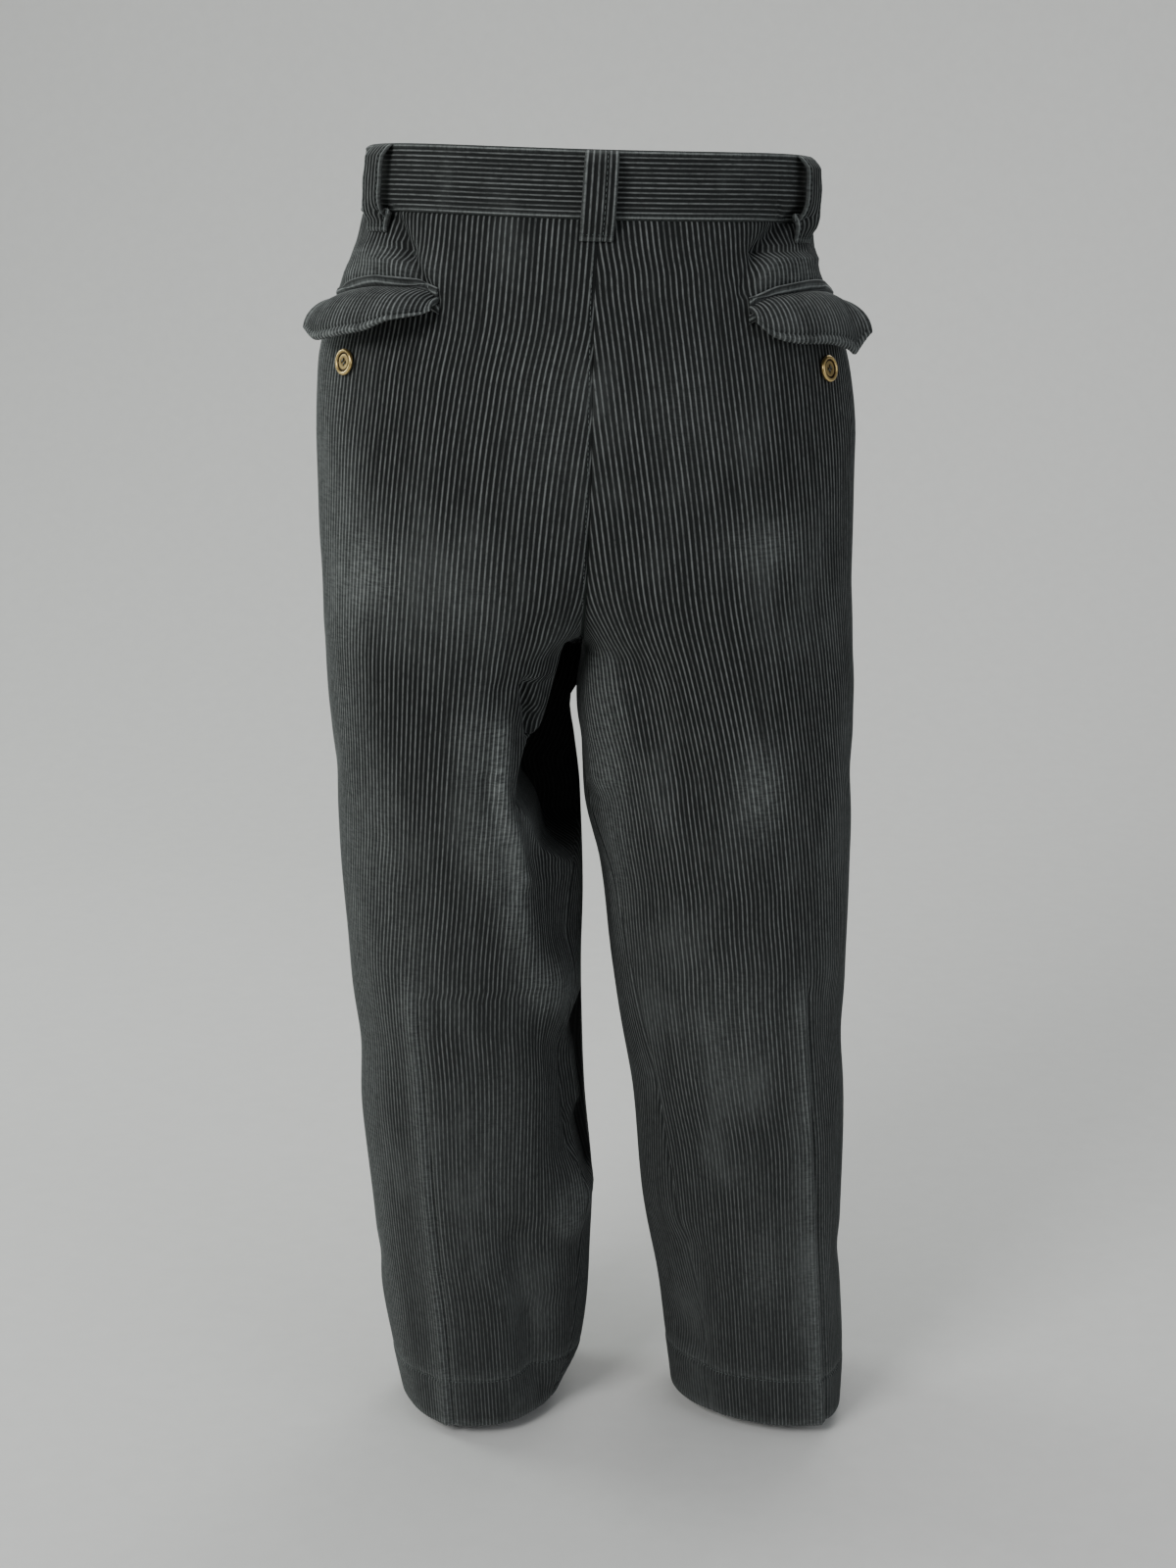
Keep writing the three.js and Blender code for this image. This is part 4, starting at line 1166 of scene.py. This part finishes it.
def build_flap(side):
    """A pocket flap: doubled cloth with its wales running out of the mouth, rolled at its free edge
    and stitched beside it."""
    line = np.linspace(0, 1, 400)
    run = run_along(flap_middle(side, line, 0.75))
    pitch = run[-1] / round(run[-1] / sizes().wale_pitch)
    count = COLUMNS_PER_WALE * round(run[-1] / pitch)
    marks = np.concatenate([[0, 0.4], np.arange(1, count) * pitch / COLUMNS_PER_WALE,
                            [run[-1] - 0.4, run[-1]]])
    along = np.interp(marks, run, line)[None, :]
    depth = run_along(flap_middle(side, 0.5, np.linspace(0, 1, 60)))[-1]
    down = np.concatenate([np.linspace(0, 0.62, 14), np.linspace(0.65, 0.97, 20), [0.982, 0.992, 1.0]])
    down = down[:, None]
    points, normals = flap_frame(side, along, down)
    to_free = (1 - down) * depth
    to_edge = np.minimum(np.minimum(marks, run[-1] - marks)[None, :], to_free)
    # A rolled edge, with a groove where it is stitched.
    half = FLAP_WALL / 2 + 0.7 * hump(to_edge, 2.6, 2.2) - 0.85 * hump(to_edge, 6.0, 0.9)
    half = half * (1 - 0.72 * hump(to_edge, 0, 1.1))
    rib = ribs(marks, pitch, sizes().wale_height * 1.4)[None, :] * smooth_step(0, 0.06, down)
    out = half + rib + 0.3
    uv = np.stack(np.broadcast_arrays((marks * sizes().wale_pitch / pitch)[None, :], down * depth), axis=-1)
    paleness = (0.22 + 0.7 * hump(to_edge, 2.4, 2.2)) * (1.0 if side < 0 else 0.45)
    label = "pocket_flap_" + name_of(side)
    over, under = raised(points, normals, out), raised(points, normals, -out)
    piece = even_shell("cloth_" + label, over, under, uv, paleness)
    finish_cloth(piece, [label])
    return piece


def fly_width(level):
    into = np.maximum(0, FLY["bottom"] + FLY["round"] - level) / FLY["round"]
    return FLY["width"] * np.sqrt(np.maximum(0.02, 1 - into * into))


def fly_points(share, level, out):
    side = -1
    level = np.asarray(level, float)
    aside = 0.4 + fly_width(level) * share
    turn = -end_turn(level) + aside / girth(side, -end_turn(level), level)
    points, normals = framed(side, turn, level)
    return raised(points, normals, out), normals


def build_fly():
    """The lap over the zip, left over right, its lower corner rounded."""
    pitch = sizes().wale_pitch
    columns = int(FLY["width"] / pitch) * COLUMNS_PER_WALE
    share = np.linspace(0, 1, columns + 1)[None, :]
    level = np.linspace(FLY["top"], FLY["bottom"], 60)[:, None]
    points, normals = fly_points(share, level, SEAM_GAP + FLY["wall"] + 0.3)
    across = share * fly_width(level)
    to_edge = fly_width(level) - across
    rib = ribs(across, pitch, sizes().wale_height * 0.8) - 0.8 * hump(to_edge, 0, 0.8)
    uv = np.stack(np.broadcast_arrays(across, level), axis=-1)
    piece = ribbed_shell("cloth_fly_placket", points, normals, rib, FLY["wall"] - 0.2, uv)
    finish_cloth(piece, ["fly_placket"])
    return piece


# ---- Buttons ------------------------------------------------------------------------------------
BUTTON_HOLE = {"radius": 0.85, "from_middle": 1.9}
BUTTONS = {
    "pocket_button_left": {"radius": 9.0, "thickness": 3.6, "rim": 1.8, "dish": 1.1},
    "pocket_button_right": {"radius": 9.0, "thickness": 3.6, "rim": 1.8, "dish": 1.1},
    "waist_button": {"radius": 8.5, "thickness": 3.2, "rim": 1.6, "dish": 0.9},
}


def node_frame(node):
    """Middle, outward axis of a thin CAD piece, from its own points, in metres."""
    source = bpy.data.objects[node]
    points = np.array([tuple(source.matrix_world @ vertex.co) for vertex in source.data.vertices])
    middle = (points.max(axis=0) + points.min(axis=0)) / 2
    _, _, axes = np.linalg.svd(points - points.mean(axis=0), full_matrices=False)
    axis = axes[2]
    if axis[0] * middle[0] + axis[1] * middle[1] < 0:
        axis = -axis
    return middle, axis


def lathe(name, profile, segments, material, polish=None):
    """A turned solid about Z from (radius, height) points that start and end on the axis."""
    angles = np.linspace(0, 2 * math.pi, segments, endpoint=False)
    rings = [np.stack([r * np.cos(angles), r * np.sin(angles), np.full(segments, h)], axis=-1)
             for r, h in profile[1:-1]]
    points = np.concatenate([np.array([[0, 0, profile[0][1]], [0, 0, profile[-1][1]]])] + rings)
    number = 2 + np.arange(len(rings) * segments).reshape(len(rings), segments)
    number = np.concatenate([number, number[:, :1]], axis=1)
    sides = quads_of(number)
    low_end, high_end = np.zeros(segments, int), np.ones(segments, int)
    low = np.stack([low_end, number[0, 1:], number[0, :-1], low_end], axis=1)
    high = np.stack([high_end, number[-1, :-1], number[-1, 1:], high_end], axis=1)
    quads = np.concatenate([sides, low, high])
    if polish is None:
        return make_object(name, points, quads, [material])
    rubbed = np.concatenate([[polish[0], polish[-1]], np.repeat(polish[1:-1], segments)])
    return make_object(name, points, quads, [material], paleness=rubbed)


def settle(piece, middle, axis):
    """Turns a piece's Z to axis and moves it to middle, in its mesh."""
    turn = Vector((0, 0, 1)).rotation_difference(Vector(axis)).to_matrix().to_4x4()
    turn.translation = Vector(middle)
    piece.data.transform(turn)
    return piece


def build_button(node):
    """A turned four-hole brass button with a raised rim, sewn on with two bars of thread."""
    size = BUTTONS[node]
    radius, thick, rim, dish = size["radius"], size["thickness"], size["rim"], size["dish"]
    face = thick - dish
    # Radius, height and how polished each ring is.
    profile = [(0, 0, 0.2), (radius * 0.55, 0, 0.2), (radius * 0.8, 0.15, 0.2),
               (radius * 0.94, thick * 0.25, 0.4), (radius, thick * 0.5, 0.7),
               (radius * 0.99, thick * 0.75, 0.8),
               (radius - rim * 0.35, thick * 0.96, 0.9), (radius - rim * 0.7, thick, 0.9),
               (radius - rim, thick * 0.97, 0.8), (radius - rim * 1.3, thick * 0.86, 0.2),
               (radius - rim * 1.6, face + 0.05, -0.5), (radius - rim * 1.9, face - 0.1, -0.4),
               (radius - rim * 2.2, face + 0.12, 0.5), (radius - rim * 2.5, face + 0.16, 0.5),
               (radius * 0.42, face + 0.1, 0.3), (radius * 0.2, face, 0.1), (0, face - 0.05, 0.1)]
    body = lathe("button_" + node, [(r, h - thick / 2) for r, h, _ in profile], 48, brass_material(),
                 np.array([polish for _, _, polish in profile]))
    reach = BUTTON_HOLE["from_middle"] * math.cos(math.pi / 4)
    corners = [(a * reach, b * reach) for a in (-1, 1) for b in (-1, 1)]
    cutters = []
    for across, up in corners:
        hole = lathe("hole", [(0, -thick), (BUTTON_HOLE["radius"], -thick), (BUTTON_HOLE["radius"], thick),
                              (0, thick)], 14, brass_material())
        hole.data.transform(Matrix.Translation((across * MM, up * MM, 0)))
        cutters.append(hole)
        cut = body.modifiers.new("hole", "BOOLEAN")
        cut.operation = "DIFFERENCE"
        cut.solver = "EXACT"
        cut.object = hole
    bake(body)
    for hole in cutters:
        bpy.data.objects.remove(hole, do_unlink=True)
    middle, axis = node_frame(node)
    settle(body, middle, axis)
    body.data.set_sharp_from_angle(angle=BUTTON_SHARP)
    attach(body, "root")
    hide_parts(node)
    for sign in (-1, 1):
        bar = lathe(f"thread_{node}_{'a' if sign < 0 else 'b'}",
                    [(0, -reach), (0.35, -reach * 0.9), (0.45, 0), (0.35, reach * 0.9), (0, reach)],
                    10, thread_material())
        bar.data.transform(Matrix.Translation((0, sign * reach * MM, (face - thick / 2 + 0.25) * MM))
                           @ Matrix.Rotation(math.pi / 2, 4, "Y"))
        settle(bar, middle, axis)
        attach(bar, "root")
    return body


def bake(piece):
    """Replaces a piece's mesh by what its modifiers make of it, and removes them."""
    bpy.context.view_layer.update()
    graph = bpy.context.evaluated_depsgraph_get()
    made = bpy.data.meshes.new_from_object(piece.evaluated_get(graph))
    piece.modifiers.clear()
    piece.data = made
    return piece


# ---- Sewing ------------------------------------------------------------------------------------------
STITCH_SEED = 7


def stitch_tree(material):
    """Geometry Nodes: one slim stitch of thread at each step along the paths that come in."""
    tree = bpy.data.node_groups.new("Stitches", "GeometryNodeTree")
    sockets = tree.interface
    sockets.new_socket("Geometry", in_out="INPUT", socket_type="NodeSocketGeometry")
    for name in ("Length", "Gap", "Radius"):
        sockets.new_socket(name, in_out="INPUT", socket_type="NodeSocketFloat")
    sockets.new_socket("Seed", in_out="INPUT", socket_type="NodeSocketInt")
    sockets.new_socket("Geometry", in_out="OUTPUT", socket_type="NodeSocketGeometry")
    nodes = Nodes(tree)
    start = nodes.add("NodeGroupInput").outputs
    pace = nodes.calc("ADD", start["Length"], start["Gap"])
    path = nodes.add("GeometryNodeMeshToCurve", {"Mesh": start["Geometry"]})
    steps = nodes.add("GeometryNodeResampleCurve", {"Curve": path.outputs[0], "Length": pace}, mode="LENGTH")
    tangent = nodes.add("GeometryNodeInputTangent")
    aim = nodes.add("FunctionNodeAlignRotationToVector", {"Vector": tangent.outputs[0]}, axis="Z")
    half = nodes.calc("MULTIPLY", start["Length"], 0.5)
    ball = nodes.add("GeometryNodeMeshUVSphere", {"Segments": 6, "Rings": 4, "Radius": 1.0})
    size = nodes.add("ShaderNodeCombineXYZ", {"X": start["Radius"], "Y": start["Radius"], "Z": half})
    vary = nodes.add("FunctionNodeRandomValue", {2: 0.86, 3: 1.08, "Seed": start["Seed"]}, data_type="FLOAT")
    scale = nodes.add("ShaderNodeVectorMath", {0: size.outputs[0], "Scale": vary.outputs[1]},
                      operation="SCALE")
    place = nodes.add("GeometryNodeInstanceOnPoints",
                      {"Points": steps.outputs[0], "Instance": ball.outputs[0],
                       "Rotation": aim.outputs[0], "Scale": scale.outputs[0]})
    real = nodes.add("GeometryNodeRealizeInstances", {"Geometry": place.outputs[0]})
    thread = nodes.add("GeometryNodeSetMaterial", {"Geometry": real.outputs[0], "Material": material})
    nodes.add("NodeGroupOutput", {"Geometry": thread.outputs[0]})
    return tree


def sew(name, paths):
    """Stitches along paths, each an array of points in millimetres."""
    mesh = bpy.data.meshes.new(name)
    points, edges = [], []
    for path in paths:
        first = len(points)
        points += [tuple(point * MM) for point in path]
        edges += [(first + k, first + k + 1) for k in range(len(path) - 1)]
    mesh.from_pydata(points, edges, [])
    piece = bpy.data.objects.new(name, mesh)
    bpy.context.scene.collection.objects.link(piece)
    tree = bpy.data.node_groups.get("Stitches") or stitch_tree(thread_material())
    modifier = piece.modifiers.new("stitches", "NODES")
    modifier.node_group = tree
    values = {"Length": sizes().stitch_length, "Gap": sizes().stitch_gap, "Radius": sizes().thread_radius,
              "Seed": STITCH_SEED}
    for item in tree.interface.items_tree:
        if item.in_out == "INPUT" and item.name in values:
            modifier[item.identifier] = values[item.name]
    bake(piece)
    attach(piece, "root")
    return piece


def hem_path(side, out):
    turn = np.linspace(0, 2 * math.pi, 220)
    return cloth(side, turn, np.full_like(turn, -LENGTH + HEM_DEPTH), out)


def band_path(side, down, out):
    turn = np.linspace(math.pi / 2, -math.pi / 2, 160)
    return cloth(side, turn, np.full_like(turn, -down), out)


def loop_path(label, across, out):
    down = np.linspace(1.5, LOOP_LENGTH - 1.5, 60)
    points, normals = loop_surface(label, np.full_like(down, across), LOOP_TOP - down)
    return raised(points, normals, LOOP_OFF(down) + LOOP_WALL + out)


def loop_bar(label, down, out):
    """A bar tack across a loop."""
    across = np.linspace(-LOOP_WIDTH / 2 + 1.5, LOOP_WIDTH / 2 - 1.5, 20)
    points, normals = loop_surface(label, across, np.full_like(across, LOOP_TOP - down))
    return raised(points, normals, LOOP_OFF(down) + LOOP_WALL + out)


def seat_path(aside):
    """Down the centre-back seam from the waistband."""
    level = np.linspace(-BAND_HEIGHT - 4, CROTCH + 40, 160)
    turn = end_turn(level)
    return cloth(-1, turn - aside / girth(-1, turn, level), level, np.full_like(level, -0.1))


def fly_path():
    """The J of stitching beside the fly."""
    level = np.linspace(FLY["top"] - 2, FLY["bottom"] + 3, 90)
    return fly_points(1 - 2.5 / fly_width(level), level, SEAM_GAP + FLY["wall"] + 0.2)[0]


# ---- Stage ------------------------------------------------------------------------------------------
CAMERA_DISTANCE = 1860.0
CAMERA_HEIGHT = 72.0
CAMERA_PITCH = 16.0
FOCAL_PIXELS = 2670.0
PICTURE_HEIGHT = 1600.0
SENSOR_WIDTH = 36.0
CENTRE_SHIFT_PIXELS = 5.0
FLOOR_LEVEL = -LENGTH - 9.0
# The studio floor, in metres: half its width, where it starts to curve up, the curve's radius and
# the top of its wall.
FLOOR = {"reach": 5.0, "bend_at": 1.4, "radius": 1.2, "top": 4.5, "steps": 24}


def build_camera():
    data = bpy.data.cameras.new("camera")
    data.sensor_width = SENSOR_WIDTH
    data.lens = FOCAL_PIXELS * SENSOR_WIDTH / PICTURE_HEIGHT
    data.shift_x = -CENTRE_SHIFT_PIXELS / PICTURE_HEIGHT
    data.clip_start = 0.05
    data.clip_end = 40.0
    camera = bpy.data.objects.new("camera", data)
    camera.location = (0, -CAMERA_DISTANCE * MM, CAMERA_HEIGHT * MM)
    camera.rotation_euler = (math.radians(90 - CAMERA_PITCH), 0, 0)
    bpy.context.scene.collection.objects.link(camera)
    bpy.context.scene.camera = camera


def build_floor():
    points, faces = [], []
    reach, bend_at, radius = FLOOR["reach"], FLOOR["bend_at"], FLOOR["radius"]
    profile = [(-reach, 0.0), (bend_at, 0.0)]
    profile += [(bend_at + radius * math.sin(a), radius - radius * math.cos(a))
                for a in np.linspace(0, math.pi / 2, FLOOR["steps"])[1:]]
    profile += [(bend_at + radius, FLOOR["top"])]
    for y, z in profile:
        points += [(-reach, y, z + FLOOR_LEVEL * MM), (reach, y, z + FLOOR_LEVEL * MM)]
    for k in range(len(profile) - 1):
        faces.append((2 * k, 2 * k + 1, 2 * k + 3, 2 * k + 2))
    mesh = bpy.data.meshes.new("studio_floor")
    mesh.from_pydata(points, [], faces)
    mesh.materials.append(studio_material())
    for polygon in mesh.polygons:
        polygon.use_smooth = True
    floor = bpy.data.objects.new("studio_floor", mesh)
    bpy.context.scene.collection.objects.link(floor)


# name, place (metres), size (metres), power (watts), colour
LAMPS = (
    ("key", (-1.7, -2.3, 1.3), 1.2, 62.0, "#FFFFFF"),
    ("fill", (2.2, -1.9, 0.2), 1.6, 16.0, "#F4F6FF"),
    ("top", (0.0, 0.2, 2.2), 1.8, 26.0, "#FFFFFF"),
    ("rim", (-2.0, 1.0, 0.4), 1.0, 22.0, "#EEF6F2"),
    ("front", (0.8, 2.4, 1.0), 1.6, 26.0, "#FFFFFF"),
)


def build_lamps():
    target = Vector((0, 0, -0.42))
    for name, place, size, power, colour in LAMPS:
        data = bpy.data.lights.new(name, "AREA")
        data.size = size
        data.energy = power
        data.color = hex_to_linear(colour)[:3]
        lamp = bpy.data.objects.new(name, data)
        lamp.location = place
        lamp.rotation_euler = (target - Vector(place)).to_track_quat("-Z", "Y").to_euler()
        bpy.context.scene.collection.objects.link(lamp)
    world = bpy.context.scene.world or bpy.data.worlds.new("studio")
    bpy.context.scene.world = world
    world.use_nodes = True
    background = world.node_tree.nodes["Background"]
    background.inputs["Color"].default_value = hex_to_linear("#DDE2E4")
    background.inputs["Strength"].default_value = 0.35


# ---- Operators ------------------------------------------------------------------------------------
LOOP_LABELS = ("back", "side_left", "side_right", "front_left", "front_right")


def build_stage():
    build_camera()
    build_floor()
    build_lamps()


def build_panels():
    for side in SIDES.values():
        for face in (1, -1):
            build_panel(side, face)


def build_bands():
    for side in SIDES.values():
        build_band(side)


def build_loops():
    for label in LOOP_LABELS:
        build_loop(label)


def build_pockets():
    for side in SIDES.values():
        build_lip(side, 1)
        build_lip(side, -1)
        build_flap(side)


def build_buttons():
    for node in BUTTONS:
        build_button(node)


def build_sewing():
    for name, side in SIDES.items():
        sew("stitches_hem_" + name, [hem_path(side, -0.45)])
        sew("stitches_waistband_" + name, [band_path(side, BAND_HEIGHT - 1.6, BAND_PROUD + 0.1)])
    for label in LOOP_LABELS:
        columns = (-2.0, 3.4) if label == "back" else (-LOOP_WIDTH / 2 + 3.0, LOOP_WIDTH / 2 - 3.0)
        paths = [loop_path(label, across, 0.1) for across in columns]
        paths.append(loop_bar(label, LOOP_LENGTH - 4, 0.25))
        sew("stitches_belt_loop_" + label, paths)
    sew("stitches_seat", [seat_path(2.4)])
    sew("stitches_fly", [fly_path()])


# Each step has an operator: its name, label, description and what it builds.
STEPS = (
    ("stage", "Studio", "Camera, pale floor and soft lamps", build_stage),
    ("panels", "Leg panels", "The four leg panels, two backs and two fronts", build_panels),
    ("waistband", "Waistband", "Both halves of the waistband", build_bands),
    ("belt_loops", "Belt loops", "The five belt loops", build_loops),
    ("hip_pockets", "Hip pockets", "Lips and flaps of the two hip pockets", build_pockets),
    ("fly", "Fly", "The lap over the zip", build_fly),
    ("buttons", "Buttons", "Turned buttons with their thread", build_buttons),
    ("sewing", "Sewing", "Stitches of the hems, waistband, loops and fly", build_sewing),
)


def operator_for(name, label, note, build):
    def execute(self, context):
        build()
        return {"FINISHED"}

    return type("TROUSERS_OT_" + name, (bpy.types.Operator,),
                {"__doc__": note, "bl_idname": "trousers." + name, "bl_label": label, "execute": execute})


OPERATORS = tuple(operator_for(*step) for step in STEPS)


class VIEW3D_PT_trousers(bpy.types.Panel):
    """Lists the trousers' sizes, colours and building steps"""
    bl_idname = "VIEW3D_PT_trousers"
    bl_label = "Corduroy Trousers"
    bl_space_type = "VIEW_3D"
    bl_region_type = "UI"
    bl_category = "Trousers"

    def draw(self, context):
        layout = self.layout
        for group in (context.scene.trousers_sizes, context.scene.trousers_colours):
            for key in group.bl_rna.properties.keys():
                if key not in ("rna_type", "name"):
                    layout.prop(group, key)
        for operator in OPERATORS:
            layout.operator(operator.bl_idname)


CLASSES = (TrousersSizes, TrousersColours) + OPERATORS + (VIEW3D_PT_trousers,)


def register():
    for item in CLASSES:
        bpy.utils.register_class(item)
    bpy.types.Scene.trousers_sizes = bpy.props.PointerProperty(type=TrousersSizes)
    bpy.types.Scene.trousers_colours = bpy.props.PointerProperty(type=TrousersColours)


def unregister():
    del bpy.types.Scene.trousers_sizes
    del bpy.types.Scene.trousers_colours
    for item in reversed(CLASSES):
        bpy.utils.unregister_class(item)


def main():
    register()
    for name, *_ in STEPS:
        getattr(bpy.ops.trousers, name)()


if __name__ == "__main__":
    main()
